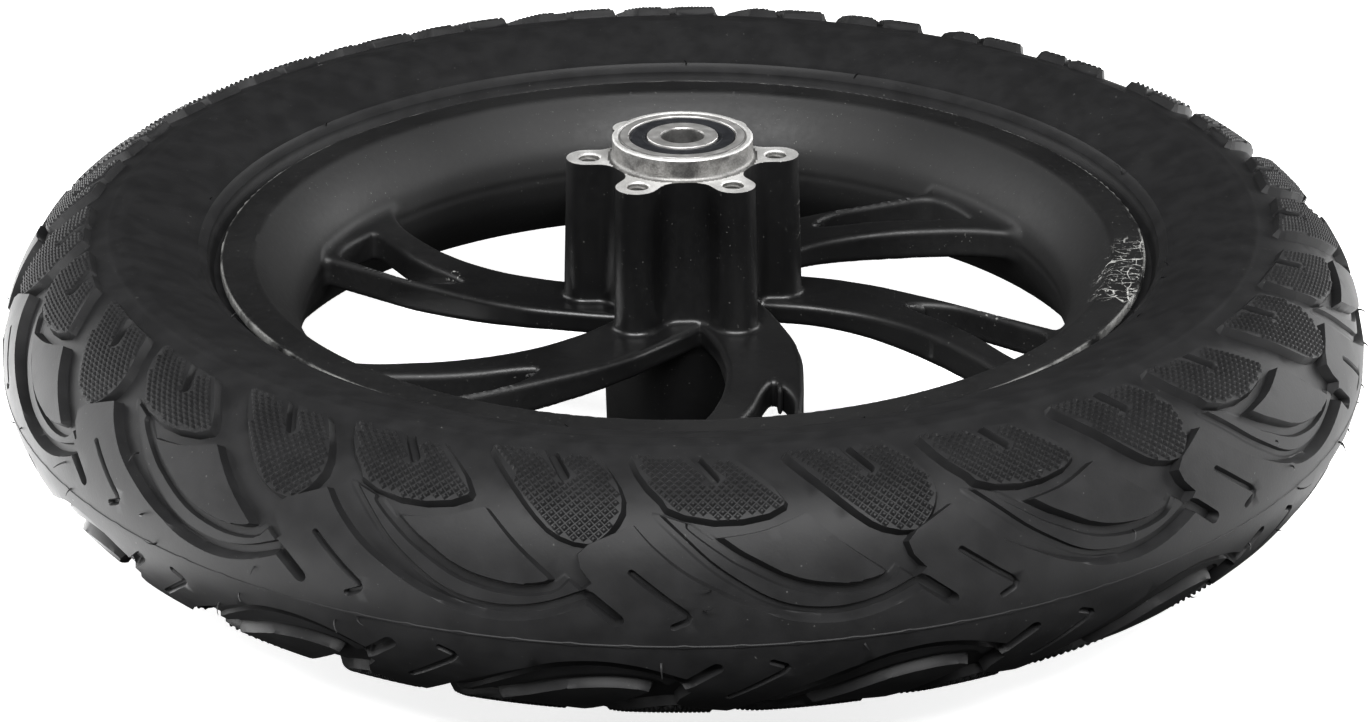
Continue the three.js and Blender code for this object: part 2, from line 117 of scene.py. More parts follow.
def grid_quads(strips, ring, closed=False, spans=None):
    """Quads of the strips between rows of points, each row a ring. Closed: the last strip ends at the first row."""
    i, j = np.meshgrid(np.arange(strips), np.arange(spans or ring), indexing="ij")
    i2, j2 = (i + 1) % (strips if closed else strips + 1), (j + 1) % ring
    return np.stack([i * ring + j, i2 * ring + j, i2 * ring + j2, i * ring + j2], -1).reshape(-1, 4)


def turned_over(quads):
    """The same quads facing the other way, with their first corners kept."""
    return np.roll(quads[:, ::-1], 1, axis=1)


def fan(tip, first, ring, over=False):
    """Triangles from one point to a ring of points."""
    here = np.arange(ring)
    pair = first + np.stack([here, (here + 1) % ring])
    return np.stack([np.full(ring, tip), *(pair[::-1] if over else pair)], 1)


def spin(degrees):
    """A turn about Z, to multiply rows of points with."""
    return np.array(Matrix.Rotation(math.radians(degrees), 3, "Z")).T


def lathe(outline, segments, closed=True):
    """Points and quads of an outline of (radius, height) turned about Z."""
    outline = np.asarray(outline, float)
    n = len(outline)
    angle = np.arange(segments) * 2 * math.pi / segments
    points = np.stack([np.outer(np.cos(angle), outline[:, 0]), np.outer(np.sin(angle), outline[:, 0]),
                       np.tile(outline[:, 1], (segments, 1))], -1).reshape(-1, 3)
    return points, grid_quads(segments, n, closed=True, spans=n if closed else n - 1)


def signed_volume(points, faces):
    volume = 0.0
    for k in range(1, faces.shape[1] - 1):
        a, b, c = points[faces[:, 0]], points[faces[:, k]], points[faces[:, k + 1]]
        volume += np.einsum("ij,ij->i", a, np.cross(b, c)).sum() / 6
    return volume


def facing_out(points, faces):
    """The faces, turned round if the solid they close is inside out."""
    return faces if signed_volume(points, faces) > 0 else faces[:, ::-1]


def rounded(corners, radii, steps=5):
    """A closed outline with each corner rounded by an arc of its own radius."""
    corners = [np.array(c, float) for c in corners]
    if np.isscalar(radii):
        radii = [radii] * len(corners)
    out = []
    for k, here in enumerate(corners):
        to_last = corners[k - 1] - here
        to_next = corners[(k + 1) % len(corners)] - here
        length = min(np.linalg.norm(to_last), np.linalg.norm(to_next)) * 0.49
        to_last, to_next = to_last / np.linalg.norm(to_last), to_next / np.linalg.norm(to_next)
        half = math.acos(max(-1, min(1, to_last @ to_next))) / 2
        setback = min(radii[k] / math.tan(half), length) if radii[k] > 0 else 0
        if setback < 1e-6:
            out.append(here)
            continue
        radius = setback * math.tan(half)
        middle = to_last + to_next
        centre = here + middle / np.linalg.norm(middle) * radius / math.sin(half)
        a, b = here + to_last * setback - centre, here + to_next * setback - centre
        turn = math.atan2(a[0] * b[1] - a[1] * b[0], a @ b)
        for s in range(steps + 1):
            t = turn * s / steps
            out.append(centre + np.array([a[0] * math.cos(t) - a[1] * math.sin(t),
                                          a[0] * math.sin(t) + a[1] * math.cos(t)]))
    return np.array(out)


def smooth_line(points, per_span=6):
    """Points along a Catmull-Rom curve through the given ones."""
    p = np.asarray(points, float)
    p = np.vstack([2 * p[0] - p[1], p, 2 * p[-1] - p[-2]])
    out = []
    for k in range(1, len(p) - 2):
        for s in range(per_span):
            t = s / per_span
            out.append(0.5 * (2 * p[k] + (p[k + 1] - p[k - 1]) * t
                              + (2 * p[k - 1] - 5 * p[k] + 4 * p[k + 1] - p[k + 2]) * t * t
                              + (3 * p[k] - p[k - 1] - 3 * p[k + 1] + p[k + 2]) * t ** 3))
    out.append(p[-2])
    return np.array(out)


def smooth_loop(points, per_span=4):
    """Points along a closed Catmull-Rom curve through the given ones."""
    p = np.asarray(points, float)
    return smooth_line(np.vstack([p[-1:], p, p[:2]]), per_span)[per_span:-per_span - 1]


def capsule(line, half_width):
    """The closed outline of a line with a width and round ends."""
    line = np.asarray(line, float)
    d = np.gradient(line, axis=0)
    d = d / np.linalg.norm(d, axis=1, keepdims=True)
    n = np.stack([-d[:, 1], d[:, 0]], 1) * half_width

    def end(point, direction):
        a = math.atan2(direction[1], direction[0])
        return [point + half_width * np.array([math.cos(a + t), math.sin(a + t)])
                for t in (-1.05, -0.52, 0, 0.52, 1.05)]
    return np.vstack([line - n, end(line[-1], d[-1]), (line + n)[::-1], end(line[0], -d[0])])


# ---------------------------------------------------------------- distance fields
def polygon_distance(x, y, outline):
    """Signed distance to a closed outline, negative inside."""
    nearest = np.full(x.shape, 1e9)
    inside = np.zeros(x.shape, bool)
    for (ax, ay), (bx, by) in zip(outline, np.roll(outline, -1, 0)):
        ex, ey = bx - ax, by - ay
        wx, wy = x - ax, y - ay
        t = np.clip((wx * ex + wy * ey) / (ex * ex + ey * ey + 1e-12), 0, 1)
        nearest = np.minimum(nearest, (wx - ex * t) ** 2 + (wy - ey * t) ** 2)
        crosses = (ay > y) != (by > y)
        inside ^= crosses & (x < ax + wy * ex / (ey if abs(ey) > 1e-12 else 1e-12))
    return np.where(inside, -1, 1) * np.sqrt(nearest)


class Table:
    """A distance field of two coordinates, kept on a fine grid and looked up between its points."""

    def __init__(self, x_range, y_range, step, field):
        self.low = (x_range[0], y_range[0])
        self.step = step
        x, y = np.meshgrid(np.arange(*x_range, step), np.arange(*y_range, step), indexing="ij")
        self.values = field(x, y)

    def __call__(self, x, y):
        v = self.values
        u = np.clip((x - self.low[0]) / self.step, 0, v.shape[0] - 1.001)
        w = np.clip((y - self.low[1]) / self.step, 0, v.shape[1] - 1.001)
        i, j = u.astype(np.int32), w.astype(np.int32)
        u, w = u - i, w - j
        near, far = v[i, j] * (1 - u) + v[i + 1, j] * u, v[i, j + 1] * (1 - u) + v[i + 1, j + 1] * u
        return near * (1 - w) + far * w


def filleted(a, b, radius):
    """Union of two fields with a round fillet between them."""
    u, v = np.maximum(radius - a, 0), np.maximum(radius - b, 0)
    return np.maximum(radius, np.minimum(a, b)) - np.sqrt(u * u + v * v)


def extruded(plan, height, edge_radius):
    """A plan field and a height field as a slab with rounded edges."""
    a, b = plan + edge_radius, height + edge_radius
    return np.sqrt(np.maximum(a, 0) ** 2 + np.maximum(b, 0) ** 2) + np.minimum(np.maximum(a, b), 0) - edge_radius


def spoke_outline():
    """A spoke's plan, along and across its own direction, from inside the hub into the rim."""
    trailing, leading = smooth_line(TRAILING_EDGE), smooth_line(LEADING_EDGE)
    start = math.atan2(trailing[-1][1], trailing[-1][0])
    end = math.atan2(leading[0][1], leading[0][0])
    arc = [(SPOKE_END_R * math.cos(a), SPOKE_END_R * math.sin(a)) for a in np.linspace(start, end, 14)[1:-1]]
    return np.vstack([trailing, arc, leading])


def rim_outline():
    """The rim's section as radius and height: barrel, flange, bead seat and well."""
    barrel = smooth_line([(BARREL_R, 0), (BARREL_R, 2.2), (92.6, 6.6), (95, 10.8), (98.2, 14.8), (101.2, 17.9)], 4)
    lip = rounded([(101.2, 17.9), (101.95, FLANGE_Z), (FLANGE_R, FLANGE_Z), (FLANGE_R, 16.45), (108.3, 15.5),
                   (103.3, 15.2), (101.5, 13.8), (101.2, 9.5), (WELL_R, 6.5)],
                  [0, 0.8, 0.9, 0.9, 0.3, 0.8, 0.8, 0.8, 1.2])
    upper = np.vstack([barrel[:-1], lip])
    lower = upper[::-1] * [1, -1]
    return np.vstack([upper, lower[:-1]])


def spoke_plan(u, v):
    """Distance to a spoke's plan with its pocket cut out and the pocket's rib left in."""
    pocket = polygon_distance(u, v, smooth_loop(POCKET))
    rib = polygon_distance(u, v, capsule(POCKET_RIB, POCKET_RIB_HALF_WIDTH))
    return np.maximum(polygon_distance(u, v, spoke_outline()), -np.maximum(pocket, -rib))


SPOKE_FIELD = Table((2, 100), (-56, 24), 0.25, spoke_plan)
RIM_FIELD = Table((80, 122), (-26, 26), 0.12, lambda r, z: polygon_distance(r, z, rim_outline()))


def spokes_field(x, y):
    """Distance to the nearest spoke's plan."""
    field = np.full(np.broadcast(x, y).shape, 60.0)
    for k in range(SPOKE_COUNT):
        a = math.radians(FIRST_SPOKE_ANGLE + 360 / SPOKE_COUNT * k)
        along, across = x * math.cos(a) + y * math.sin(a), y * math.cos(a) - x * math.sin(a)
        field = np.minimum(field, SPOKE_FIELD(along, across))
    return field


def folded(x, y):
    """Coordinates along and across the nearest lobe of the disc mount."""
    step = 2 * math.pi / SPOKE_COUNT
    a = np.arctan2(y, x) - math.radians(FIRST_LOBE_ANGLE)
    a = a - np.round(a / step) * step
    r = np.sqrt(x * x + y * y)
    return r * np.cos(a), np.abs(r * np.sin(a))


def column_field(x, y, z):
    """The hub column: a slightly tapered core with six round-tipped lobes, up to the disc's face."""
    scale = 1 + COLUMN_TAPER * np.clip(1 - (z + 2) / (DISC_FACE_Z + 2), 0, 1.2)
    u, v = folded(x / scale, y / scale)
    tip = LOBE_TIP_R - LOBE_HALF_WIDTH
    lobe = np.sqrt(np.maximum(u - tip, 0) ** 2 + v * v) - LOBE_HALF_WIDTH
    core = np.sqrt(u * u + v * v) - CORE_R
    return np.maximum(filleted(core, lobe, CORE_FILLET_R) * scale, np.maximum(z - DISC_FACE_Z, COLUMN_FOOT_Z - z))


def casting_field(x, y, z, spokes=None):
    """The whole casting. The plan of the spokes can be handed in, as it is the same at every height."""
    r = np.sqrt(x * x + y * y)
    spokes = spokes_field(x, y) if spokes is None else spokes
    t = np.clip((r - SPOKE_THICKENS_FROM_R) / (SPOKE_THICKENS_TO_R - SPOKE_THICKENS_FROM_R), 0, 1)
    bottom = SPOKE_ROOT_BOTTOM_Z + (SPOKE_RIM_BOTTOM_Z - SPOKE_ROOT_BOTTOM_Z) * t * t * (3 - 2 * t)
    body = extruded(spokes, np.maximum(z - SPOKE_TOP_Z, bottom - z), SPOKE_EDGE_R)
    body = filleted(body, RIM_FIELD(r, z), SPOKE_TO_RIM_FILLET)
    boss = np.maximum(np.maximum(r - BOSS_R, z - HUB_HALF_LENGTH), BOSS_FOOT_Z - z)
    boss = np.maximum(boss, (r - BOSS_R + z - HUB_HALF_LENGTH + BOSS_CHAMFER) * DIAGONAL)
    column = filleted(column_field(x, y, z), boss, BOSS_FILLET)
    body = filleted(body, column, SPOKE_TO_COLUMN_FILLET)
    barrel_r = LOWER_BARREL_R + LOWER_BARREL_TAPER * (1 + z / HUB_HALF_LENGTH)
    barrel = np.maximum(r - barrel_r, np.maximum(z, -HUB_HALF_LENGTH - z))
    barrel = np.maximum(barrel, (r - LOWER_BARREL_R - z - HUB_HALF_LENGTH + LOWER_BARREL_CHAMFER) * DIAGONAL)
    body = filleted(body, barrel, SPOKE_TO_BARREL_FILLET)
    seat = np.maximum(r - SEAT_R, SEAT_Z - np.abs(z))
    mouth = (r - SEAT_R - np.abs(z) + HUB_HALF_LENGTH - SEAT_CHAMFER) * DIAGONAL
    body = np.maximum(body, -np.minimum(np.minimum(r - HUB_BORE_R, seat), mouth))
    u, v = folded(x, y)
    q = np.sqrt((u - BOLT_CIRCLE_R) ** 2 + v * v)
    hole = np.maximum(q - BOLT_THREAD_R, DISC_FACE_Z - BOLT_HOLE_DEPTH - z)
    cone = np.maximum((q - BOLT_CHAMFER_R - z + DISC_FACE_Z) * DIAGONAL, z - DISC_FACE_Z - BOLT_CHAMFER_HEIGHT)
    body = np.maximum(body, -np.minimum(hole, cone))
    a = math.radians(VALVE_ANGLE)
    along, across = x * math.cos(a) + y * math.sin(a), y * math.cos(a) - x * math.sin(a)
    valve = np.maximum(np.sqrt(across ** 2 + z * z) - VALVE_HOLE_R, VALVE_HOLE_FROM_R - along)
    return np.maximum(body, -valve)


# ---------------------------------------------------------------- dual contouring
def gradient(field, p, h=0.01):
    g = np.empty_like(p)
    for axis in range(3):
        step = np.zeros(3)
        step[axis] = h
        g[:, axis] = field(*(p + step).T) - field(*(p - step).T)
    return g / np.maximum(np.linalg.norm(g, axis=1, keepdims=True), 1e-9)


def crossings(axes, values, field, axis):
    """Where the surface crosses the grid's edges along one axis: indices, if outwards, points and normals."""
    inside = values < 0
    low = tuple(slice(0, -1) if a == axis else slice(None) for a in range(3))
    high = tuple(slice(1, None) if a == axis else slice(None) for a in range(3))
    index = np.argwhere(inside[low] != inside[high])
    other = index.copy()
    other[:, axis] += 1
    p0 = np.stack([axes[a][index[:, a]] for a in range(3)], 1)
    p1 = np.stack([axes[a][other[:, a]] for a in range(3)], 1)
    f0, f1 = values[tuple(index.T)].astype(float), values[tuple(other.T)].astype(float)
    outward = f0 < 0
    for _ in range(4):
        t = np.clip(f0 / (f0 - f1), 0.05, 0.95)[:, None]
        p = p0 + (p1 - p0) * t
        f = field(*p.T)
        same = (f < 0) == (f0 < 0)
        p0, f0 = np.where(same[:, None], p, p0), np.where(same, f, f0)
        p1, f1 = np.where(same[:, None], p1, p), np.where(same, f1, f)
    p = p0 + (p1 - p0) * (f0 / (f0 - f1 + 1e-12))[:, None]
    return index, outward, p, gradient(field, p)


def dual_contour(axes, values, field):
    """Points and quads of a distance field's surface on a rectilinear grid, with its sharp edges kept."""
    cells = np.array(values.shape) - 1
    all_cells, all_points, all_normals, rings = [], [], [], []
    for axis in range(3):
        index, outward, p, n = crossings(axes, values, field, axis)
        b, c = (axis + 1) % 3, (axis + 2) % 3
        ring = []
        for db, dc in ((-1, -1), (0, -1), (0, 0), (-1, 0)):
            cell = index.copy()
            cell[:, b] += db
            cell[:, c] += dc
            ring.append((cell[:, 0] * cells[1] + cell[:, 1]) * cells[2] + cell[:, 2])
        ring = np.stack(ring, 1)
        ring[~outward] = ring[~outward][:, ::-1]
        rings.append(ring)
        all_cells.append(ring.ravel())
        all_points.append(np.repeat(p, 4, 0))
        all_normals.append(np.repeat(n, 4, 0))
    ids, cell_of = np.unique(np.concatenate(all_cells), return_inverse=True)
    cell_of = cell_of.ravel()
    p, n = np.concatenate(all_points), np.concatenate(all_normals)

    def total(w):
        return np.bincount(cell_of, weights=w, minlength=len(ids))

    count = total(np.ones(len(p)))
    centre = np.stack([total(p[:, a]) for a in range(3)], 1) / count[:, None]
    offset = np.einsum("ij,ij->i", n, p - centre[cell_of])
    matrix = np.empty((len(ids), 3, 3))
    for a in range(3):
        for b in range(3):
            matrix[:, a, b] = total(n[:, a] * n[:, b])
    matrix += np.eye(3) * 0.04 * count[:, None, None]
    right = np.stack([total(n[:, a] * offset) for a in range(3)], 1)
    points = centre + np.linalg.solve(matrix, right[:, :, None])[:, :, 0]
    k = np.stack([ids // (cells[1] * cells[2]), ids // cells[2] % cells[1], ids % cells[2]], 1)
    for a in range(3):
        points[:, a] = np.clip(points[:, a], axes[a][k[:, a]], axes[a][k[:, a] + 1])
    return points, cell_of.reshape(-1, 4)


def spaced(*stops):
    """Coordinates from one stop to the next: start, then pairs of (step, end)."""
    out = [stops[0]]
    for step, end in stops[1:]:
        n = max(1, round((end - out[-1]) / step))
        out += list(np.linspace(out[-1], end, n + 1)[1:])
    return np.array(out)


def casting_mesh(scale):
    """The casting's surface, on a grid that is finer round the hub and at the spokes' height."""
    side = spaced(-110.43, (1.02 * scale, -29.43), (0.43 * scale, 29.47), (1.02 * scale, 110.47))
    up = spaced(-44.83, (0.8 * scale, -42.37), (1.7 * scale, -20.07), (0.85 * scale, -6.03), (0.55 * scale, 6.07),
                (0.85 * scale, 20.13), (1.7 * scale, 34.03), (0.7 * scale, 37.63), (0.4 * scale, 44.83))
    axes = [side, side, up]
    values = np.full((len(side), len(side), len(up)), 10.0, np.float32)
    plan = spokes_field(side[:, None], side[None, :])[:, :, None]
    middle = np.abs(up) < 20.2
    values[:, :, middle] = casting_field(side[:, None, None], side[None, :, None], up[None, None, middle], plan)
    near = np.flatnonzero(np.abs(side) < 32)
    near = slice(near[0], near[-1] + 1)
    x, y = side[near][:, None, None], side[near][None, :, None]
    for part in (up <= -20.2, up >= 20.2):
        values[near, near, part] = casting_field(x, y, up[None, None, part], plan[near, near])
    return dual_contour(axes, values, casting_field)


def thread_ridges(crest, root, pitch, turns, bottom, around=20):
    """A thread's ridge as a closed helical bar about Z, starting at one height."""
    rows = turns * around
    t = np.arange(rows + 1) / around
    z, a = bottom + t * pitch, t * 2 * math.pi
    half = 0.45 * pitch
    section = [(root, -half), (crest, -0.09 * pitch), (crest, 0.09 * pitch), (root, half)]
    points = np.stack([np.stack([r * np.cos(a), r * np.sin(a), z + dz], 1) for r, dz in section], 1).reshape(-1, 3)
    ends = np.array([[0, 3, 2, 1], [rows * 4, rows * 4 + 1, rows * 4 + 2, rows * 4 + 3]])
    return points, facing_out(points, np.vstack([grid_quads(rows, 4), ends])[:, ::-1])


def bolt_threads():
    """The M5 thread in each of the disc mount's holes."""
    foot = DISC_FACE_Z - BOLT_THREAD_TOP_GAP - BOLT_THREAD_TURNS * BOLT_THREAD_PITCH
    points, quads = thread_ridges(BOLT_HOLE_R, BOLT_THREAD_R + BOLT_THREAD_SINK, BOLT_THREAD_PITCH,
                                  BOLT_THREAD_TURNS, foot)
    all_points, all_quads = [], []
    for k in range(SPOKE_COUNT):
        b = math.radians(FIRST_LOBE_ANGLE + 60 * k)
        all_points.append(points + [BOLT_CIRCLE_R * math.cos(b), BOLT_CIRCLE_R * math.sin(b), 0])
        all_quads.append(quads + k * len(points))
    return np.vstack(all_points), np.vstack(all_quads)


PAINTED, MACHINED, RAW = 0, 1, 2
BARE_END_R, BARE_END_DEPTH, BARE_HOLE_DEPTH = 20, 0.6, 0.3


def build_casting(materials):
    """The casting with its bolt threads, and which of its faces are painted, machined or raw."""
    points, quads = casting_mesh(1.0)
    middle = points[quads].mean(1)
    r = np.hypot(middle[:, 0], middle[:, 1])
    z = middle[:, 2]
    kind = np.full(len(quads), PAINTED)
    kind[(np.abs(z - DISC_FACE_Z) < 0.06) & (r > BOSS_R + 0.7)] = MACHINED
    kind[(np.abs(z) > HUB_HALF_LENGTH - BARE_END_DEPTH) & (r < BARE_END_R)] = MACHINED
    kind[r < SEAT_R + 0.4] = MACHINED
    boss_side = (z > DISC_FACE_Z - 0.08) & (z < HUB_HALF_LENGTH - 0.35) & (r > SEAT_R + 0.5) & (r < CORE_R + 0.15)
    kind[boss_side] = RAW
    u, v = folded(middle[:, 0], middle[:, 1])
    bolt_hole = (np.hypot(u - BOLT_CIRCLE_R, v) < BOLT_CHAMFER_R + 0.1) & (z > DISC_FACE_Z - BOLT_HOLE_DEPTH - 1)
    kind[bolt_hole] = MACHINED
    kind[bolt_hole & (z < DISC_FACE_Z - BARE_HOLE_DEPTH)] = RAW
    thread_points, thread_quads = bolt_threads()
    quads = np.vstack([quads, thread_quads + len(points)])
    kind = np.concatenate([kind, np.full(len(thread_quads), RAW)])
    points = np.vstack([points, thread_points])
    stand_in("wheel_casting", points, [quads], materials, kind, sharp_deg=38)


# ---------------------------------------------------------------- tyre
PITCH_COUNT = 15
PITCH_DEG = 360 / PITCH_COUNT
PARTING_S = -2.8
LOWER_SHIFT_DEG = 7.0
FLAT_MM_PER_DEG = 2.65
TREAD_HALF_S = 42.5
FLOOR_H, BAND_H, LUG_H, BLOCK_H = -2.5, -1.5, -0.55, -0.15
TILE_START_DEG = -8.6

# Outlines on the tread, as degrees along it and mm across it.
GROOVE_EDGE = [(-3.7, 22.0), (-2.3, 17.8), (-0.2, 12.9), (1.9, 9.4), (4.7, 5.5), (7.5, 3.0), (10.3, 2.2), (13.1, 3.5),
               (16.1, 6.8)]
ARROW = [(18.4, 7.4), (16.4, 15.8), (20.0, 21.6)]
SLOT = [(17.3, 7.4), (19.3, 2.9)]
SIPE = [(-3.7, 12.6), (-1.1, 7), (0.4, 3.6), (-0.7, 1.7)]
OUTER_GROOVE = [(-2.2, 25.0), (-2, 24.2), (-0.4, 19.8), (1.7, 14.1), (3.8, 9.7), (5.9, 6), (8, 3.8), (10.5, 2.9),
                (12.6, 3.3), (14.7, 4.8), (17, 7.5)]
BLOCK_GROOVE = [(0.6, 22.4), (1.5, 20.3), (3.6, 15.9), (4.8, 13.9), (7, 10.5), (9.1, 8.5), (11.9, 7.5), (14.4, 8.5),
                (15.4, 11)]
BLOCK_TOP = [(2.2, 19.4), (3.6, 19.7), (6.1, 20.8), (9.1, 23.7)]
BLOCK_SIDE = [(9.1, 23.7), (11.7, 16.8), (14.3, 10.9)]
LUG_SHIFT_DEG = 1.1
SMALL_LUG = [(-16.9, 39), (-16.1, 35.6), (-14.2, 29.6), (-12.6, 24.7), (-11.1, 20.8), (-9.7, 18.8), (-8.0, 18),
             (-6.9, 19.8), (-6.1, 22.7), (-5.7, 26.2), (-6.2, 30.6), (-7.4, 35.6), (-8.2, 38)]
LARGE_LUG = [(-5.4, 39), (-4.3, 32.6), (-2.7, 27.7), (-1.9, 25.2), (1.2, 23.2), (4.3, 23.7), (6.6, 26.2),
             (5.2, 31.6), (3.7, 35.5), (2.8, 38)]
NOTCHES = [[(-12.4, 40.5), (-10.4, 32.2)], [(-0.8, 40.5), (1.3, 32.2)]]
# Half width, depth and width of the wall of each kind of groove.
OUTER_GROOVE_CUT, BLOCK_GROOVE_CUT, SIPE_CUT = (0.8, -2.4, 0.9), (0.85, -2.4, 0.9), (0.3, -1.2, 0.45)
SLOT_CUT, NOTCH_CUT = (0.95, -2.5, 0.45), (0.75, -2.3, 0.45)
BLOCK_WALL, LUG_WALL, CROWN_WALL, SEAM_WALL = 0.5, 0.9, 0.45, 0.3
TREAD_STATIONS, TREAD_ROWS = 43, 28
SEAM_POINTS, SEAM_H, SEAM_HALF_WIDTH, SEAM_WIDE_HALF_WIDTH = 109, 0.18, 0.13, 0.34
KNURL_ACROSS, KNURLS_PER_PITCH, KNURL_HEIGHT, KNURL_SINK, KNURL_TOP = 1.9, 33, 0.62, 0.12, 0.3
KNURL_HALF = (0.92, 0.9)
HAIRS_ON_TREAD, HAIRS_ON_WALLS, HAIR_R, HAIR_SEED = 70, 26, 0.3, 7


def flat(points):
    """Tread coordinates (degrees, mm across) as flat mm."""
    return np.asarray(points, float) * [FLAT_MM_PER_DEG, 1]


def grown(outline, distance):
    """A closed outline moved outwards."""
    area = np.sum(outline[:, 0] * np.roll(outline[:, 1], -1) - outline[:, 1] * np.roll(outline[:, 0], -1))
    side = np.roll(outline, -1, 0) - outline
    side = side / np.linalg.norm(side, axis=1, keepdims=True)
    normal = np.stack([side[:, 1], -side[:, 0]], 1) * (1 if area > 0 else -1)
    mean = normal + np.roll(normal, 1, 0)
    mean = mean / np.maximum(np.sum(mean ** 2, 1, keepdims=True) / 2, 0.55)
    return outline + mean * distance


def lug(points):
    """A shoulder lug's outline in flat mm, smooth towards the tread and square towards the sidewall."""
    line = smooth_line(flat(points) + [LUG_SHIFT_DEG * FLAT_MM_PER_DEG, 0], 3)
    return rounded(line[::2], 0.5, 1)


def notch(line):
    return capsule(flat(line) + [LUG_SHIFT_DEG * FLAT_MM_PER_DEG, 0], NOTCH_CUT[0])


def tread_features():
    """Blocks and grooves of one pitch's upper half: flat outline in mm, top or groove floor, width of the wall."""
    outer_groove, block_groove = smooth_line(flat(OUTER_GROOVE), 3), smooth_line(flat(BLOCK_GROOVE), 3)
    band = np.vstack([outer_groove, block_groove[::-1]])
    block = np.vstack([smooth_line(flat(BLOCK_TOP), 3), smooth_line(flat(BLOCK_SIDE), 3)[1:],
                       block_groove[-3:4:-1]])
    blocks = [(band, BAND_H, BLOCK_WALL), (rounded(block, 0.5, 2), BLOCK_H, BLOCK_WALL),
              (lug(SMALL_LUG), LUG_H, LUG_WALL), (lug(LARGE_LUG), LUG_H, LUG_WALL)]
    lines = [(outer_groove, OUTER_GROOVE_CUT), (block_groove, BLOCK_GROOVE_CUT),
             (smooth_line(flat(SIPE), 3), SIPE_CUT), (flat(SLOT), SLOT_CUT)]
    grooves = [(capsule(line, cut[0]), *cut[1:]) for line, cut in lines]
    grooves += [(notch(line), *NOTCH_CUT[1:]) for line in NOTCHES]
    return blocks, grooves


def crown_edge():
    """The upper edge of the tread's middle part over one pitch, in flat mm."""
    return np.vstack([smooth_line(flat(GROOVE_EDGE), 5), smooth_line(flat(ARROW), 3)[1:]])


def other_half(outline):
    """The same outline on the lower half of the tread."""
    return outline * [1, -1] + [LOWER_SHIFT_DEG * FLAT_MM_PER_DEG, 2 * PARTING_S]


def all_features():
    """Every block and groove that reaches into one pitch, both halves."""
    pitch = PITCH_DEG * FLAT_MM_PER_DEG
    blocks, grooves = tread_features()
    edge = crown_edge()
    upper = np.vstack([edge + [k * pitch, 0] for k in range(-3, 4)])
    lower = np.vstack([other_half(edge) + [k * pitch, 0] for k in range(-3, 4)])
    crown = np.vstack([upper, lower[::-1]])
    x = np.linspace(-1.5 * pitch, 1.5 * pitch, SEAM_POINTS)
    half = np.where(np.arange(SEAM_POINTS) % 6 == 0, SEAM_WIDE_HALF_WIDTH, SEAM_HALF_WIDTH)
    seam = np.vstack([np.stack([x, PARTING_S - half], 1), np.stack([x, PARTING_S + half], 1)[::-1]])
    out_blocks, out_grooves = [(crown, 0.0, CROWN_WALL), (seam, SEAM_H, SEAM_WALL)], []
    for k in (-1, 0, 1):
        for given, out in ((blocks, out_blocks), (grooves, out_grooves)):
            for outline, h, run in given:
                out += [(outline + [k * pitch, 0], h, run), (other_half(outline)[::-1] + [k * pitch, 0], h, run)]
    return out_blocks, out_grooves


def wall(x, y, outline, run):
    """Which points are near an outline, and how far each is down its wall: 0 on top, 1 at the foot."""
    low, high = outline.min(0) - 2, outline.max(0) + 2
    near = np.flatnonzero((x > low[0]) & (x < high[0]) & (y > low[1]) & (y < high[1]))
    down = np.clip(polygon_distance(x[near], y[near], outline) / run, 0, 1)
    return near, down * down * (3 - 2 * down)


def tread_height(x, y, blocks, grooves):
    """Height of the tread above its nominal surface, from the distance to each block and groove."""
    h = np.full(len(x), FLOOR_H)
    for outline, top, run in blocks:
        near, down = wall(x, y, outline, run)
        h[near] = np.maximum(h[near], top - (top - FLOOR_H) * down)
    for outline, bottom, run in grooves:
        near, down = wall(x, y, outline, run)
        h[near] = np.minimum(h[near], bottom * (1 - down) + 0.5 * down)
    return h


def on_tyre(x, y, h):
    """Flat tread coordinates and a height as points of the tyre, in mm."""
    phi = np.radians(-90 + x / FLAT_MM_PER_DEG)
    a = y / TYRE_SECTION_R
    rho = TYRE_SECTION_R + h
    r = TYRE_SECTION_CENTRE_R + rho * np.cos(a)
    return np.stack([r * np.cos(phi), r * np.sin(phi), rho * np.sin(a)], 1)


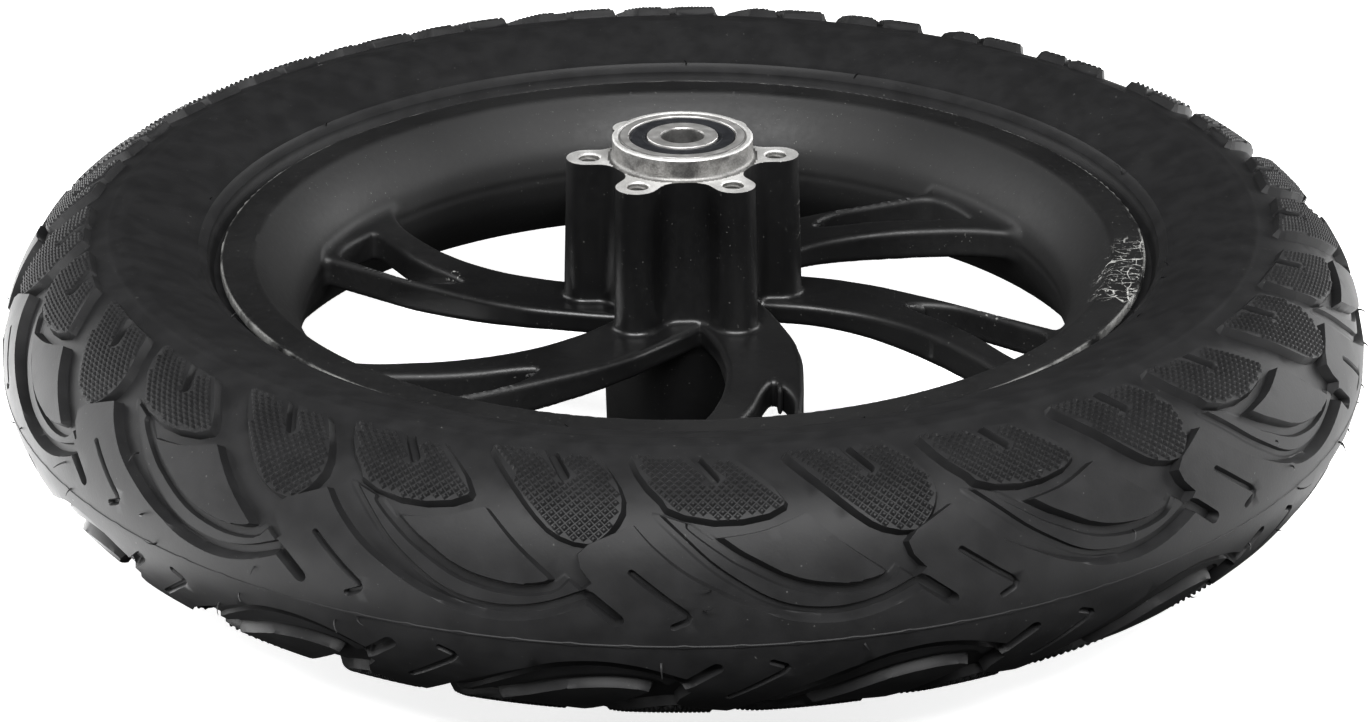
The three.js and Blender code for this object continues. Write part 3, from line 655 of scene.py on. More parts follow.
def tread_tile():
    """One pitch of the tread as points in flat mm, heights and triangles."""
    blocks, grooves = all_features()
    x0 = TILE_START_DEG * FLAT_MM_PER_DEG
    x1 = x0 + PITCH_DEG * FLAT_MM_PER_DEG
    points, edges = [], []

    def add_line(line):
        start = len(points)
        points.extend(line)
        edges.extend((start + i, start + i + 1) for i in range(len(line) - 1))

    margin = 1.0
    for outline, _, run in blocks + grooves:
        for loop in (outline, grown(outline, run / 2), grown(outline, run)):
            inside = (loop[:, 0] > x0 - margin) & (loop[:, 0] < x1 + margin)
            keep = inside | np.roll(inside, 1) | np.roll(inside, -1)
            start = len(points)
            index = {}
            for i in np.flatnonzero(keep):
                index[i] = start + len(index)
                points.append(tuple(loop[i]))
            n = len(loop)
            edges.extend((index[i], index[(i + 1) % n]) for i in index if (i + 1) % n in index)
    count = int(PITCH_DEG)
    for x in (x0, x1):
        add_line([(x, y) for y in np.linspace(-TREAD_HALF_S, TREAD_HALF_S, TREAD_STATIONS)])
    for y in (-TREAD_HALF_S, TREAD_HALF_S):
        add_line([(x0 + (x1 - x0) * i / count, y) for i in range(count + 1)])
    for i in range(1, count):
        for j in range(1, TREAD_ROWS):
            x = x0 + (x1 - x0) * (i + 0.5 * (j % 2) - 0.25) / count
            points.append((x, -TREAD_HALF_S + 2 * TREAD_HALF_S * j / TREAD_ROWS))
    verts, _, faces, _, _, _ = delaunay_2d_cdt([Vector(p) for p in points], edges, [], 0, 1e-4)
    p = np.array([tuple(v) for v in verts])
    t = np.array([tuple(f) for f in faces])
    centre = p[t].mean(1)
    t = t[(centre[:, 0] > x0) & (centre[:, 0] < x1) & (np.abs(centre[:, 1]) < TREAD_HALF_S)]
    used, t = np.unique(t, return_inverse=True)
    p, t = p[used], t.reshape(-1, 3)
    ab, ac = p[t[:, 1]] - p[t[:, 0]], p[t[:, 2]] - p[t[:, 0]]
    flip = ab[:, 0] * ac[:, 1] - ab[:, 1] * ac[:, 0] < 0
    t[flip] = t[flip][:, ::-1]
    return p, tread_height(p[:, 0], p[:, 1], blocks, grooves), t


def knurl_points():
    """Centres of the small pyramids on the lugs of one pitch, in flat mm."""
    along = PITCH_DEG / KNURLS_PER_PITCH * FLAT_MM_PER_DEG
    out = []
    for points, slit in ((SMALL_LUG, NOTCHES[0]), (LARGE_LUG, NOTCHES[1])):
        outline, slit = lug(points), notch(slit)
        i, j = np.meshgrid(np.arange(-60, 61), np.arange(14, 44), indexing="ij")
        x = (i * along + (j % 2) * along / 2).ravel()
        y = (j * KNURL_ACROSS / 2 + 2).ravel()
        good = (polygon_distance(x, y, outline) < -0.55) & (polygon_distance(x, y, slit) > 1.0) & (y < 39.2)
        out.append(np.stack([x[good], y[good]], 1))
    return np.vstack(out)


def knurls():
    """Points and faces of the pyramids of one pitch, both halves."""
    centres = knurl_points()
    centres = np.vstack([centres, other_half(centres)])
    ring = np.array([(KNURL_HALF[0], 0), (0, KNURL_HALF[1]), (-KNURL_HALF[0], 0), (0, -KNURL_HALF[1])])
    base = np.repeat(centres, 4, 0) + np.tile(ring, (len(centres), 1))
    tip = np.repeat(centres, 4, 0) + np.tile(ring * KNURL_TOP, (len(centres), 1))
    points = np.stack([base.reshape(-1, 4, 2), tip.reshape(-1, 4, 2)], 1).reshape(-1, 2)
    foot = LUG_H - KNURL_SINK
    h = np.tile(np.repeat([foot, foot + KNURL_HEIGHT], 4), len(centres))
    block = np.array([(0, 1, 5, 4), (1, 2, 6, 5), (2, 3, 7, 6), (3, 0, 4, 7), (4, 5, 6, 7), (3, 2, 1, 0)])
    faces = (np.arange(len(centres))[:, None, None] * 8 + block).reshape(-1, 4)
    return on_tyre(points[:, 0], points[:, 1], h), faces


def tread_edge():
    """Radius and height of the tread's edge."""
    a = TREAD_HALF_S / TYRE_SECTION_R
    rho = TYRE_SECTION_R + FLOOR_H
    return TYRE_SECTION_CENTRE_R + rho * math.cos(a), rho * math.sin(a)


SIDEWALL = [(133.5, 28.3), (128, 27.5), (121.5, 25.2), (116, 22.4), (113.1, 20.2), (111.9, 17.4)]
BEAD = [(111.0, 15.8), (108.2, 14.9), (103.6, 14.75), (101.95, 13.6), (101.85, 9.6)]
TYRE_INSIDE = [(102.4, 9.0), (106, 9.4), (112, 14.8), (121, 20.4), (133, 24.2), (143, 21.5), (150.6, 14.2),
               (154.6, 5), (155.0, 0)]
# Which points of the sidewall's curve carry a moulded ring, and how high it is.
WALL_RINGS = ((7, 0.22), (8, 0.22), (22, 0.3), (26, 0.25))


def side_profile():
    """The tyre's outside from the tread's edge down to the bead, in mm, with its fine moulded rings."""
    curve = smooth_line([tread_edge(), *SIDEWALL], 5)
    d = np.gradient(curve, axis=0)
    n = np.stack([-d[:, 1], d[:, 0]], 1) / np.linalg.norm(d, axis=1, keepdims=True)
    n *= np.sign(n[:, 1:2])
    bump = np.zeros(len(curve))
    for k, height in WALL_RINGS:
        bump[k] = height
    curve = curve + n * bump[:, None]
    return np.vstack([curve[1:], BEAD])


def vent_hairs():
    """The short rubber hairs that the mould's vents leave, as thin bent tapered bars."""
    rng = np.random.default_rng(HAIR_SEED)
    parts, faces, places = [], [], []
    for _ in range(HAIRS_ON_TREAD):
        x, y = rng.uniform(0, 360) * FLAT_MM_PER_DEG, PARTING_S + rng.normal(0, 1) * 9
        places.append(on_tyre(np.array([x, x]), np.array([y, y]), np.array([-0.3, 1.0])))
    for k in range(HAIRS_ON_WALLS):
        t, r, side = rng.uniform(0, 2 * math.pi), rng.uniform(113.5, 117), 1 if k % 2 == 0 else -1
        z = 20.4 + (r - 113) * 0.55
        low = np.array([r * math.cos(t), r * math.sin(t), side * z])
        places.append((low, low + [0, 0, side]))
    for k, (low, high) in enumerate(places):
        out = (high - low) / np.linalg.norm(high - low)
        lean = np.cross(out, rng.normal(size=3))
        lean = lean / np.linalg.norm(lean)
        length = rng.uniform(1.6, 3.6)
        side = np.cross(out, lean)
        for step in range(5):
            t = step / 4
            centre = low + out * length * t * (1 - 0.35 * t) + lean * length * 0.75 * t * t
            r = HAIR_R * (1 - 0.6 * t)
            parts.append([centre + r * (math.cos(a) * lean + math.sin(a) * side) for a in (0, 2.094, 4.189)])
        faces.append(turned_over(grid_quads(4, 3)) + 15 * k)
    return np.vstack(parts), np.vstack(faces)


def welded(points, *faces, grid=0.004):
    """The same mesh with points at one place made one."""
    key = np.round(points / grid).astype(np.int64)
    _, first, index = np.unique(key, axis=0, return_index=True, return_inverse=True)
    index = index.ravel()
    out = []
    for f in faces:
        f = index[f]
        ordered = np.sort(f, 1)
        out.append(f[(np.diff(ordered, axis=1) > 0).all(1)])
    return (points[first], *out)


def build_tyre(materials):
    """The tread's tile and its knurls, each 15 times round, with the lathed walls and inside of the tyre."""
    p, h, t = tread_tile()
    pyramid_points, pyramid_faces = knurls()
    points, triangles, quads, total = [], [], [], 0
    for piece, faces, out in ((on_tyre(p[:, 0], p[:, 1], h), t, triangles), (pyramid_points, pyramid_faces, quads)):
        for k in range(PITCH_COUNT):
            points.append(piece @ spin(PITCH_DEG * k))
            out.append(faces + total)
            total += len(piece)
    for up in (1, -1):
        ring, faces = lathe(np.vstack([tread_edge(), side_profile(), TYRE_INSIDE]) * [1, up], 360, closed=False)
        points.append(ring @ spin(-90 + TILE_START_DEG))
        quads.append((faces if up < 0 else faces[:, ::-1]) + total)
        total += len(ring)
    points, triangles, quads = np.vstack(points), np.vstack(triangles), np.vstack(quads)
    points, triangles, quads = welded(points, triangles, quads)
    hairs, hair_quads = vent_hairs()
    quads = np.vstack([quads, hair_quads + len(points)])
    points = np.vstack([points, hairs])
    stand_in("tyre", points, [triangles, quads], materials, sharp_deg=32)


# ---------------------------------------------------------------- bearings
BEARING_R, BORE_R, HALF_WIDTH, BALL_R, PITCH_R, GROOVE_R, BALL_COUNT = 15, 5, 4.5, 2.3, 10, 2.55, 8
BALL_RINGS, BALL_SEGMENTS = 16, 24
SPACER_R, SPACER_BORE_R, SPACER_GAP = 7, 5.2, 0.3
HUB_SEGMENTS = 96


def turned(node, outline, material, body, height=0.0, side=1):
    """A ring turned about the wheel's axis in the place of one CAD node."""
    points, quads = lathe(np.asarray(outline, float) * [1, side] + [0, height], HUB_SEGMENTS)
    stand_in(node, points, [facing_out(points, quads)], [material], sharp_deg=30, body=body)


def race(side):
    """The ball groove's arc, on the outer ring (1) or the inner one (-1)."""
    return [(PITCH_R + side * GROOVE_R * math.cos(math.radians(a)), GROOVE_R * math.sin(math.radians(a)))
            for a in np.linspace(-40, 40, 9)]


def ring_outline(corners, radii, side):
    """A bearing ring's section from its upper half and its race."""
    upper = rounded(corners, radii, 3)
    return np.vstack([upper, upper[::-1] * [1, -1], race(side)])


def outer_ring_outline():
    """The outer ring's section: the seal's step, the end face with its chamfer, the race."""
    w = HALF_WIDTH
    return ring_outline([(12.0, w - 1.1), (12.7, w - 1.1), (12.7, w), (BEARING_R, w), (BEARING_R, 0.5)],
                        [0, 0.12, 0.2, 0.45, 0], 1)


def inner_ring_outline():
    """The inner ring's section, made like the outer one's."""
    w = HALF_WIDTH
    return ring_outline([(8.0, w - 1.3), (8.35, w - 1), (8.35, w), (BORE_R, w), (BORE_R, 0.5)],
                        [0, 0.1, 0.2, 0.6, 0], -1)


def seal_outline():
    """A seal's section: a flat rubber disc with a raised rim, a shallow groove and a lip on the inner ring."""
    top, thick = HALF_WIDTH - 0.25, 0.7
    return rounded([(8.65, top - thick), (12.4, top - thick), (12.4, top), (12.0, top), (11.8, top - 0.16),
                    (9.5, top - 0.16), (9.35, top - 0.02), (9.05, top - 0.02), (8.9, top - 0.14), (8.65, top - 0.14)],
                   [0, 0.1, 0.15, 0.1, 0.1, 0.1, 0.06, 0.06, 0.1, 0.08], 2)


def build_bearing(prefix, side, steel, rubber):
    """Rings, seals and balls of one bearing. Its cage is the CAD's own."""
    middle = side * (HUB_HALF_LENGTH - HALF_WIDTH)
    turned(prefix + "_outer_ring", outer_ring_outline(), steel, "wheel", middle)
    turned(prefix + "_inner_ring", inner_ring_outline(), steel, "axle_core", middle)
    for which, facing in (("outboard", side), ("inboard", -side)):
        turned(f"{prefix}_{which}_seal", seal_outline(), rubber, "wheel", middle, facing)
    for k in range(BALL_COUNT):
        a = 2 * math.pi * k / BALL_COUNT
        centre = (PITCH_R * math.cos(a), PITCH_R * math.sin(a), middle)
        build_ball(f"{prefix}_ball_{k + 1}", centre, steel, prefix.replace("bearing", "ball_set"))


def build_ball(node, centre, steel, body):
    rings, around = BALL_RINGS, BALL_SEGMENTS
    t, a = np.linspace(0, math.pi, rings + 1)[1:-1], np.arange(around) * 2 * math.pi / around
    points = np.stack([np.outer(np.sin(t), np.cos(a)), np.outer(np.sin(t), np.sin(a)),
                       np.outer(np.cos(t), np.ones(around))], -1)
    points = np.vstack([points.reshape(-1, 3), [(0, 0, 1), (0, 0, -1)]]) * BALL_R + centre
    north, last = (rings - 1) * around, (rings - 2) * around
    caps = np.vstack([fan(north, 0, around), fan(north + 1, last, around, over=True)])
    stand_in(node, points, [grid_quads(rings - 2, around), caps], [steel], body=body)


# ---------------------------------------------------------------- valve
VALVE_STEM_R, VALVE_ROOT_R, VALVE_BEND_START_R, VALVE_BEND_RADIUS, VALVE_BEND_DEG = 4, 101, 87, 7, 50
VALVE_RUBBER_LENGTH, VALVE_THREAD_LENGTH, VALVE_THREAD_R, VALVE_MOUTH_R = 9, 11, 3.6, 2.4
VALVE_MOUTH_DEPTH, VALVE_CORE_R, VALVE_THREAD_PITCH, VALVE_THREAD_TURNS, VALVE_THREAD_FROM = 9, 1.0, 0.8, 11, 1.4
VALVE_SEGMENTS, VALVE_BEND_STEPS, VALVE_END_CHAMFER = 32, 9, 0.5
CAP_SEGMENTS, CAP_RIDGE_FROM_R, CAP_BETWEEN_RIDGES = 80, 4.4, 0.955


def valve_frame():
    """Origin and matrix of the valve's end: x along the wheel's tangent, z out of the valve."""
    bend, rim = math.radians(VALVE_BEND_DEG), math.radians(VALVE_ANGLE)
    radial, up = np.array([math.cos(rim), math.sin(rim), 0]), np.array([0, 0, 1])
    tangent = np.array([-math.sin(rim), math.cos(rim), 0])
    out = -radial * math.cos(bend) - up * math.sin(bend)
    u = VALVE_BEND_START_R - VALVE_BEND_RADIUS * math.sin(bend) - VALVE_RUBBER_LENGTH * math.cos(bend)
    z = -VALVE_BEND_RADIUS * (1 - math.cos(bend)) - VALVE_RUBBER_LENGTH * math.sin(bend)
    return radial * u + up * z, np.stack([tangent, np.cross(out, tangent), out], 1), radial, tangent, up


def on_valve(points):
    """Points given along the valve's own axis, moved to its place on the wheel."""
    origin, axes, *_ = valve_frame()
    return np.asarray(points) @ axes.T + origin


def build_valve_stem(rubber, brass):
    """The bent rubber stem with the threaded brass tube in its end."""
    _, _, radial, tangent, up = valve_frame()
    bend = math.radians(VALVE_BEND_DEG)
    path = [(VALVE_ROOT_R, 0, 0), (VALVE_BEND_START_R + 6, 0, 0)]
    path += [(VALVE_BEND_START_R - VALVE_BEND_RADIUS * math.sin(t), -VALVE_BEND_RADIUS * (1 - math.cos(t)), t)
             for t in np.linspace(0, bend, VALVE_BEND_STEPS)]
    end = path[-1]
    for along in (3, 6, 8.3, VALVE_RUBBER_LENGTH):
        path.append((end[0] - along * math.cos(bend), end[1] - along * math.sin(bend), bend))
    radii = [VALVE_STEM_R] * (len(path) - 1) + [VALVE_STEM_R - VALVE_END_CHAMFER]
    around = VALVE_SEGMENTS
    a = np.arange(around) * 2 * math.pi / around
    points = []
    for (u, z, t), r in zip(path, radii):
        across = up * math.cos(t) - radial * math.sin(t)
        points.append(radial * u + up * z + r * (np.outer(np.cos(a), tangent) + np.outer(np.sin(a), across)))
    rows = len(path)
    points = np.vstack(points + [[radial * path[0][0]], [radial * path[-1][0] + up * path[-1][1]]])
    quads = turned_over(grid_quads(rows - 1, around))
    caps = np.vstack([fan(rows * around, 0, around, over=True), fan(rows * around + 1, (rows - 1) * around, around)])
    outwards = signed_volume(points, quads) + signed_volume(points, caps) > 0
    quads, caps = (f if outwards else f[:, ::-1] for f in (quads, caps))
    length, mouth, root = VALVE_THREAD_LENGTH, VALVE_MOUTH_R, VALVE_THREAD_R - 0.25
    floor = length - VALVE_MOUTH_DEPTH
    tube, tube_faces = lathe([(VALVE_CORE_R, -1), (root + 0.3, -1), (root + 0.3, 0.9), (root, 1.3),
                              (root, length - 0.5), (root - 0.4, length), (mouth, length), (mouth, floor),
                              (VALVE_CORE_R, floor)], VALVE_SEGMENTS)
    thread, thread_faces = thread_ridges(VALVE_THREAD_R, root - 0.05, VALVE_THREAD_PITCH, VALVE_THREAD_TURNS,
                                         VALVE_THREAD_FROM)
    parts, faces, kinds, total = [points], [quads, caps], [np.zeros(len(quads) + len(caps), int)], len(points)
    for p, f in ((tube, tube_faces), (thread, thread_faces)):
        p = on_valve(p)
        parts.append(p)
        faces.append(facing_out(p, f) + total)
        kinds.append(np.ones(len(f), int))
        total += len(p)
    stand_in("valve_stem", np.vstack(parts), faces, [rubber, brass], np.concatenate(kinds),
             sharp_deg=35)


def build_valve_cap(plastic):
    """A moulded cap with a knurled skirt."""
    roof, inside = VALVE_THREAD_LENGTH + 2.4, VALVE_THREAD_R + 0.3
    end = roof + 1.4
    outline = rounded([(0.05, end), (3.6, end), (4.7, end - 0.9), (4.9, 1.2), (inside, 1.2), (inside, roof - 0.8),
                       (2.6, roof), (0.05, roof)], [0, 0.5, 0.5, 0.25, 0.1, 0.1, 0.1, 0], 3)
    points, quads = lathe(outline, CAP_SEGMENTS)
    r = np.hypot(points[:, 0], points[:, 1])
    skirt = (r > CAP_RIDGE_FROM_R) & (points[:, 2] > 1.9) & (points[:, 2] < end - 1.3)
    between = np.repeat(np.arange(CAP_SEGMENTS) % 4 < 2, len(outline))
    points[skirt & between, :2] *= CAP_BETWEEN_RIDGES
    points = on_valve(points)
    stand_in("valve_cap", points, [facing_out(points, quads)], [plastic], sharp_deg=30,
             body="valve_cap")


# ---------------------------------------------------------------- materials
NOISE_ROUGHNESS = 0.55


class Finish:
    """A Principled material, put together from procedural nodes in object coordinates (metres)."""

    def __init__(self, name, **constants):
        self.material = bpy.data.materials.new(name)
        self.material.use_nodes = True
        self.nodes, self.links = self.material.node_tree.nodes, self.material.node_tree.links
        self.shader = self.nodes["Principled BSDF"]
        for socket, value in constants.items():
            self.shader.inputs[socket.replace("_", " ")].default_value = value
        self.place = self.nodes.new("ShaderNodeTexCoord").outputs["Object"]

    def put(self, value, socket):
        if isinstance(value, bpy.types.NodeSocket):
            self.links.new(value, socket)
        else:
            socket.default_value = value

    def noise(self, size_mm, detail=3.0, place=None):
        """Cloudy noise from 0 to 1 with features of about the given size."""
        node = self.nodes.new("ShaderNodeTexNoise")
        self.put(place or self.place, node.inputs["Vector"])
        node.inputs["Scale"].default_value = 1 / (size_mm * MM)
        node.inputs["Detail"].default_value = detail
        node.inputs["Roughness"].default_value = NOISE_ROUGHNESS
        return node.outputs["Fac"]

    def contour(self, size_mm, place):
        """Thin wandering lines, as of scratches: where cloudy noise passes through its middle."""
        off = self.math("ABSOLUTE", self.math("SUBTRACT", self.noise(size_mm, 2, place=place), 0.5))
        return self.span(off, 0.0, 0.012, 1.0, 0.0)

    def math(self, operation, a, b=0.0):
        node = self.nodes.new("ShaderNodeMath")
        node.operation = operation
        self.put(a, node.inputs[0])
        self.put(b, node.inputs[1])
        return node.outputs[0]

    def times(self, a, b):
        return self.math("MULTIPLY", a, b)

    def most(self, values):
        """The largest of several values."""
        top = values[0]
        for value in values[1:]:
            top = self.math("MAXIMUM", top, value)
        return top

    def span(self, value, low, high, to_low=0.0, to_high=1.0):
        """The value's range from low to high, softly moved to another range."""
        node = self.nodes.new("ShaderNodeMapRange")
        node.interpolation_type = "SMOOTHSTEP"
        numbers = {"Value": value, "From Min": low, "From Max": high, "To Min": to_low, "To Max": to_high}
        for socket, number in numbers.items():
            self.put(number, node.inputs[socket])
        return node.outputs[0]

    def blend(self, amount, a, b):
        node = self.nodes.new("ShaderNodeMix")
        node.data_type = "RGBA"
        self.put(amount, node.inputs["Factor"])
        for socket, colour in zip((node.inputs[6], node.inputs[7]), (a, b)):
            self.put((*colour, 1) if isinstance(colour, tuple) else colour, socket)
        return node.outputs[2]

    def stretched(self, x, y, z):
        node = self.nodes.new("ShaderNodeMapping")
        self.put(self.place, node.inputs["Vector"])
        node.inputs["Scale"].default_value = (x, y, z)
        return node.outputs[0]

    def near(self, centre_mm, radius_mm, edge_mm=2.0):
        """1 within a radius of a point of the object, 0 outside it."""
        node = self.nodes.new("ShaderNodeVectorMath")
        node.operation = "DISTANCE"
        self.put(self.place, node.inputs[0])
        node.inputs[1].default_value = [v * MM for v in centre_mm]
        return self.span(node.outputs["Value"], (radius_mm - edge_mm) * MM, radius_mm * MM, 1.0, 0.0)

    def radius(self):
        """Distance from the wheel's axis."""
        node = self.nodes.new("ShaderNodeVectorMath")
        node.operation = "LENGTH"
        self.put(self.stretched(1, 1, 0), node.inputs[0])
        return node.outputs["Value"]

    def along_radius(self):
        """A place that changes only with the distance from the axis, for turning marks."""
        joined = self.nodes.new("ShaderNodeCombineXYZ")
        self.put(self.radius(), joined.inputs[0])
        return joined.outputs[0]

    def edges(self, low, high):
        """1 along sharp outside edges."""
        return self.span(self.nodes.new("ShaderNodeNewGeometry").outputs["Pointiness"], low, high)

    def bump(self, *layers):
        """Bumps from (height from 0 to 1, depth in mm) layers, one on top of the other."""
        normal = None
        for height, depth_mm in layers:
            node = self.nodes.new("ShaderNodeBump")
            node.inputs["Distance"].default_value = depth_mm * MM
            self.put(height, node.inputs["Height"])
            if normal is not None:
                self.put(normal, node.inputs["Normal"])
            normal = node.outputs["Normal"]
        self.put(normal, self.shader.inputs["Normal"])

    def done(self, colour, roughness):
        self.put(colour, self.shader.inputs["Base Color"])
        self.put(roughness, self.shader.inputs["Roughness"])
        return self.material


# Worn places of the paint: centre in mm and radius.
PAINT_SCRATCHES = [((100.1, -34, 18.45), 9), ((104.3, -20, 18.45), 11), ((107.4, -8, 18.45), 7),
                   ((27.4, 0.6, 22.5), 6)]
PAINT_CHIPS = [((76.3, -24.6, 3.2), 6), ((71.2, -15.9, 3.2), 4), ((-56.3, 11.8, 3.2), 3)]
# Radii in mm of the painted highlight: lighter paint in a band along the flange's outer edge.
FLANGE_HIGHLIGHT_R = (108.75, 109.2)
GLOSSY_TO_R, COARSE_FROM_R, HUB_PAINT_ROUGHNESS, RIM_PAINT_ROUGHNESS = 40, 85, 0.36, 0.56


def black_paint():
    """Satin black paint with dust, worn edges, scratches and chips, and a painted highlight along the flange's outer
    edge; coarser towards the rim.
    """
    f = Finish("satin_black_paint", Specular_IOR_Level=0.5)
    patchy, fine = f.noise(35, 4), f.noise(1.6, 3)
    dust = f.span(f.noise(0.7, 1), 0.735, 0.79)
    worn = f.times(f.edges(0.56, 0.66), f.span(f.noise(5, 4), 0.45, 0.65))
    # Painted highlight: the paint is lightened in a band along the flange's outer edge.
    edge = f.span(f.radius(), FLANGE_HIGHLIGHT_R[0] * MM, FLANGE_HIGHLIGHT_R[1] * MM)
    flange_highlight = f.times(edge, f.span(f.noise(11, 4), 0.36, 0.6))
    lines = f.most([f.contour(7, f.stretched(1.0, 0.3, 1)), f.contour(6, f.stretched(0.35, 1.0, 1)),
                    f.contour(4, f.stretched(1, 1, 1))])
    where = f.most([f.near(centre, radius, 4) for centre, radius in PAINT_SCRATCHES])
    scratched = f.times(f.times(lines, where), f.span(f.noise(2.5, 3), 0.42, 0.55))
    chips = f.times(f.most([f.near(*place) for place in PAINT_CHIPS]), f.span(f.noise(1.3, 4), 0.6, 0.66))
    colour = f.blend(f.span(patchy, 0.3, 0.7), (0.0032, 0.0032, 0.0034), (0.0058, 0.0058, 0.006))
    colour = f.blend(f.times(dust, 0.35), colour, (0.2, 0.2, 0.19))
    colour = f.blend(f.times(worn, 0.25), colour, (0.12, 0.12, 0.12))
    colour = f.blend(f.times(flange_highlight, 0.6), colour, (0.3, 0.3, 0.29))
    colour = f.blend(f.math("MAXIMUM", scratched, chips), colour, (0.5, 0.5, 0.48))
    uneven = f.span(f.math("ADD", f.times(patchy, 0.6), f.times(fine, 0.4)), 0.3, 0.7, -0.06, 0.06)
    by_radius = f.span(f.radius(), GLOSSY_TO_R * MM, COARSE_FROM_R * MM, HUB_PAINT_ROUGHNESS, RIM_PAINT_ROUGHNESS)
    rough = f.math("ADD", uneven, by_radius)
    f.bump((f.noise(2.4, 2), 0.02), (f.noise(0.55, 2), 0.012), (f.math("MAXIMUM", scratched, chips), -0.03))
    return f.done(colour, rough)


def metal(name, dark, light, mottle_mm, rough, grain_mm, grain_depth, rings=False, metallic=1.0, grease_and_shade=()):
    """Bare metal: mottled colour, uneven gloss, grain or turning marks, and darkening from one radius to another:
    painted shade, with grease in a bore.
    """
    f = Finish(name, Metallic=metallic)
    grain = f.noise(grain_mm, 3, place=f.along_radius() if rings else None)
    mottle = f.noise(mottle_mm, 4)
    tone = f.span(f.math("ADD", f.times(mottle, 0.55), f.times(grain, 0.45)), 0.3, 0.7)
    colour = f.blend(tone, dark, light)
    stains = f.span(f.noise(mottle_mm * 0.35, 5), 0.66, 0.78)
    colour = f.blend(f.times(stains, 0.4), colour, tuple(v * 0.45 for v in dark))
    # Painted shade: the colour darkens from one radius to another, for shade in a bore and in a gap between parts,
    # with grease in the bore.
    for clear_r, darkest_r in grease_and_shade:
        grease_and_shade_mask = f.times(f.span(f.radius(), clear_r * MM, darkest_r * MM), f.span(mottle, 0.3, 0.7, 0.7, 0.95))
        colour = f.blend(grease_and_shade_mask, colour, tuple(v * 0.12 for v in dark))
    f.bump((grain, grain_depth), (f.noise(grain_mm * 3, 2), grain_depth * 0.8))
    return f.done(colour, f.span(f.math("ADD", mottle, f.times(stains, 0.4)), 0.3, 0.9, *rough))


def moulded(name, dark, light, mottle_mm, rough, grain_mm, grain_depth, specks=0.0, specular=0.5):
    """Rubber or plastic from a mould: slow mottling, fine grain, pale dust in places."""
    f = Finish(name, Specular_IOR_Level=specular)
    mottle, patches, grain = f.noise(mottle_mm, 5), f.noise(mottle_mm * 3, 3), f.noise(grain_mm, 3)
    colour = f.blend(f.span(mottle, 0.3, 0.7), dark, light)
    dust = f.times(f.span(f.noise(0.9, 1), 0.74, 0.8), f.span(patches, 0.4, 0.65))
    colour = f.blend(f.times(dust, specks), colour, (0.25, 0.25, 0.24))
    rough_mix = f.math("ADD", f.times(mottle, 0.5), f.times(patches, 0.5))
    f.bump((f.noise(mottle_mm * 0.4, 3), grain_depth), (grain, grain_depth))
    return f.done(colour, f.span(rough_mix, 0.32, 0.68, *rough))


def build_materials():
    """Every finish by the record's slot name, with the casting's two bare ones."""
    return {
        "painted_casting": black_paint(),
        "machined": metal("machined_aluminium", (0.62, 0.615, 0.6), (0.84, 0.835, 0.82), 6, (0.55, 0.75), 0.35, 0.02,
                          metallic=0.75),
        "raw": metal("sand_rough_aluminium", (0.19, 0.187, 0.181), (0.38, 0.375, 0.364), 2.5, (0.5, 0.7), 0.45, 0.07),
        "tyre_rubber": moulded("moulded_tyre_rubber", (0.0108, 0.0108, 0.0112), (0.0155, 0.0155, 0.016), 7,
                               (0.45, 0.51), 0.6, 0.02, specks=0.25, specular=0.17),
        "tube_rubber": moulded("butyl_rubber", (0.009, 0.009, 0.009), (0.016, 0.016, 0.016), 6, (0.4, 0.55), 0.5,
                               0.02, specks=0.5),
        "seal_rubber": moulded("nitrile_seal_rubber", (0.006, 0.0066, 0.0085), (0.010, 0.011, 0.014), 2, (0.5, 0.7),
                               0.22, 0.015, specks=0.3),
        # Painted shade darkens the steel inside the inner ring's bore and at the outer ring's edge by its seat.
        "bearing_steel": metal("ground_bearing_steel", (0.6, 0.59, 0.575), (0.84, 0.83, 0.815), 3, (0.4, 0.56), 0.16,
                               0.003, rings=True, metallic=0.85, grease_and_shade=((5.5, 5.05), (14.5, 14.8))),
        "cage_nylon": moulded("moulded_nylon", (0.6, 0.56, 0.46), (0.72, 0.68, 0.57), 3, (0.4, 0.55), 0.4, 0.01),
        "brass": metal("turned_brass", (0.48, 0.33, 0.13), (0.68, 0.49, 0.21), 3, (0.22, 0.42), 0.2, 0.004),
        "cap_plastic": moulded("moulded_black_plastic", (0.009, 0.009, 0.009), (0.014, 0.014, 0.014), 4, (0.36, 0.5),
                               0.35, 0.012, specks=0.4),
        "spacer_aluminium": metal("drawn_aluminium", (0.5, 0.5, 0.49), (0.7, 0.7, 0.69), 5, (0.28, 0.45), 0.3,
                                  0.006),
    }


# ---------------------------------------------------------------- stage
FLOOR_SIZE, FLOOR_GLOW, ROOM_LIGHT = 12, 0.8, 0.02
# Name, place, aimed at, size and watts. The cards lie flat beside the wheel.
LIGHTS = [
    ("left_low", (-1.25, 0.42, 0.3), (0, 0, 0), (1.2, 0.8), 14),
    ("right_low", (1.25, 0.45, 0.32), (0, 0, 0), (1.2, 0.8), 16),
    ("left_card", (-0.46, 0.05, -0.04), (-0.46, 0.05, 1), (0.64, 1.3), 14),
    ("right_card", (0.48, 0.05, -0.04), (0.48, 0.05, 1), (0.64, 1.3), 7),
    ("front_card", (-0.1, -0.52, -0.04), (-0.1, -0.52, 1), (1.2, 0.6), 0.3),
    ("front_high_left", (-0.4, -0.86, 1.05), (0, 0.1, 0), (0.6, 0.5), 20),
    ("front_high_right", (0.4, -0.86, 1.05), (0, 0.1, 0), (0.6, 0.5), 20),
]
CAMERA_ELEVATION, CAMERA_ROLL, CAMERA_DISTANCE = math.radians(24.56), math.radians(-0.21), 0.7819
CAMERA_SHIFT_RIGHT, CAMERA_SHIFT_UP = 0.00029, -0.01323
SENSOR_MM, LENS_MM = 36, 85.35866


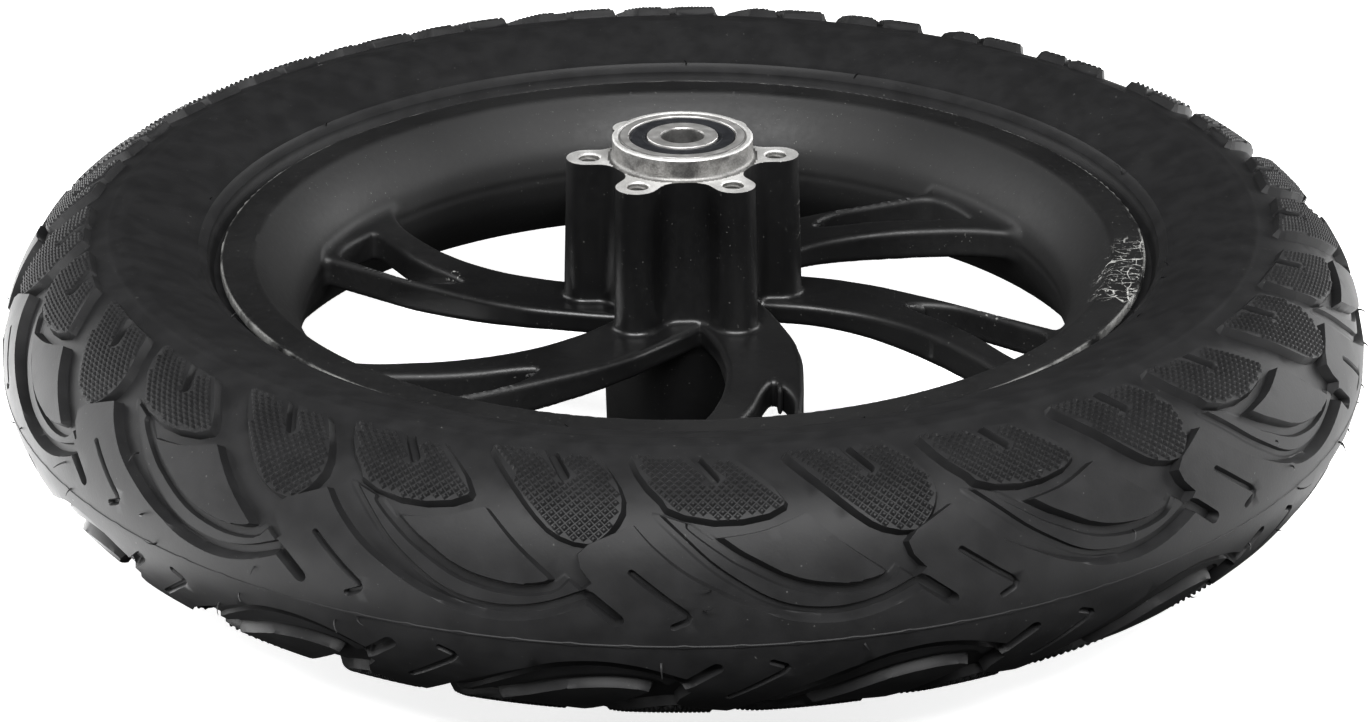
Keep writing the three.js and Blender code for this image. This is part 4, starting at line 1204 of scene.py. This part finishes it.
def stage():
    """A plain pale floor with a faint shadow. It doesn't light the wheel, as if dark cloth lay round the set."""
    bpy.ops.mesh.primitive_plane_add(size=FLOOR_SIZE, location=(0, 0, CAD_BOUNDS[0].z))
    floor = bpy.context.object
    floor.name = "floor"
    f = Finish("pale_floor", Emission_Color=(1, 1, 1, 1), Emission_Strength=FLOOR_GLOW)
    floor.data.materials.append(f.done(f.blend(f.noise(40, 3), (0.88, 0.88, 0.88), (0.92, 0.92, 0.92)), 0.9))
    floor.visible_diffuse = floor.visible_glossy = False
    world = bpy.data.worlds.new("studio")
    bpy.context.scene.world = world
    world.use_nodes = True
    background = world.node_tree.nodes["Background"]
    background.inputs[0].default_value = (1, 1, 1, 1)
    background.inputs[1].default_value = ROOM_LIGHT


def area_light(name, location, target, size, power):
    """A rectangular light that the camera doesn't see."""
    data = bpy.data.lights.new(name, "AREA")
    data.shape = "RECTANGLE"
    data.size, data.size_y = size
    data.energy = power
    obj = bpy.data.objects.new(name, data)
    obj.location = location
    obj.visible_camera = False
    obj.rotation_euler = (Vector(target) - Vector(location)).to_track_quat("-Z", "Y").to_euler()
    bpy.context.scene.collection.objects.link(obj)


def camera():
    """The camera as fitted to the photograph."""
    data = bpy.data.cameras.new("camera")
    data.sensor_width = SENSOR_MM
    data.lens = LENS_MM
    data.clip_start, data.clip_end = 0.01, 50
    obj = bpy.data.objects.new("camera", data)
    forward = Vector((0, math.cos(CAMERA_ELEVATION), -math.sin(CAMERA_ELEVATION)))
    up = Vector((0, math.sin(CAMERA_ELEVATION), math.cos(CAMERA_ELEVATION)))
    place = Matrix.Translation(-forward * CAMERA_DISTANCE + up * CAMERA_SHIFT_UP + Vector((CAMERA_SHIFT_RIGHT, 0, 0)))
    tilt = Matrix.Rotation(math.pi / 2 - CAMERA_ELEVATION, 4, "X")
    obj.matrix_world = place @ tilt @ Matrix.Rotation(CAMERA_ROLL, 4, "Z")
    bpy.context.scene.collection.objects.link(obj)
    bpy.context.scene.camera = obj


FINISH = build_materials()
build_casting([FINISH["painted_casting"], FINISH["machined"], FINISH["raw"]])
build_tyre([FINISH["tyre_rubber"]])
for which, sign in (("upper_bearing", 1), ("lower_bearing", -1)):
    build_bearing(which, sign, FINISH["bearing_steel"], FINISH["seal_rubber"])
spacer_end = HUB_HALF_LENGTH - 2 * HALF_WIDTH - SPACER_GAP
spacer = rounded([(SPACER_BORE_R, -spacer_end), (SPACER_R, -spacer_end), (SPACER_R, spacer_end),
                  (SPACER_BORE_R, spacer_end)], 0.3, 3)
turned("bearing_spacer", spacer, FINISH["spacer_aluminium"], "axle_core")
build_valve_stem(FINISH["tube_rubber"], FINISH["brass"])
build_valve_cap(FINISH["cap_plastic"])
for row in frame["record"]["subparts"]:
    node = frame["nodes"][row["node"]]
    for held in node.material_slots:
        held.material = FINISH[row["material_slot"]]
stage()
for light in LIGHTS:
    area_light(*light)
camera()
bpy.context.scene.view_settings.view_transform = "Standard"
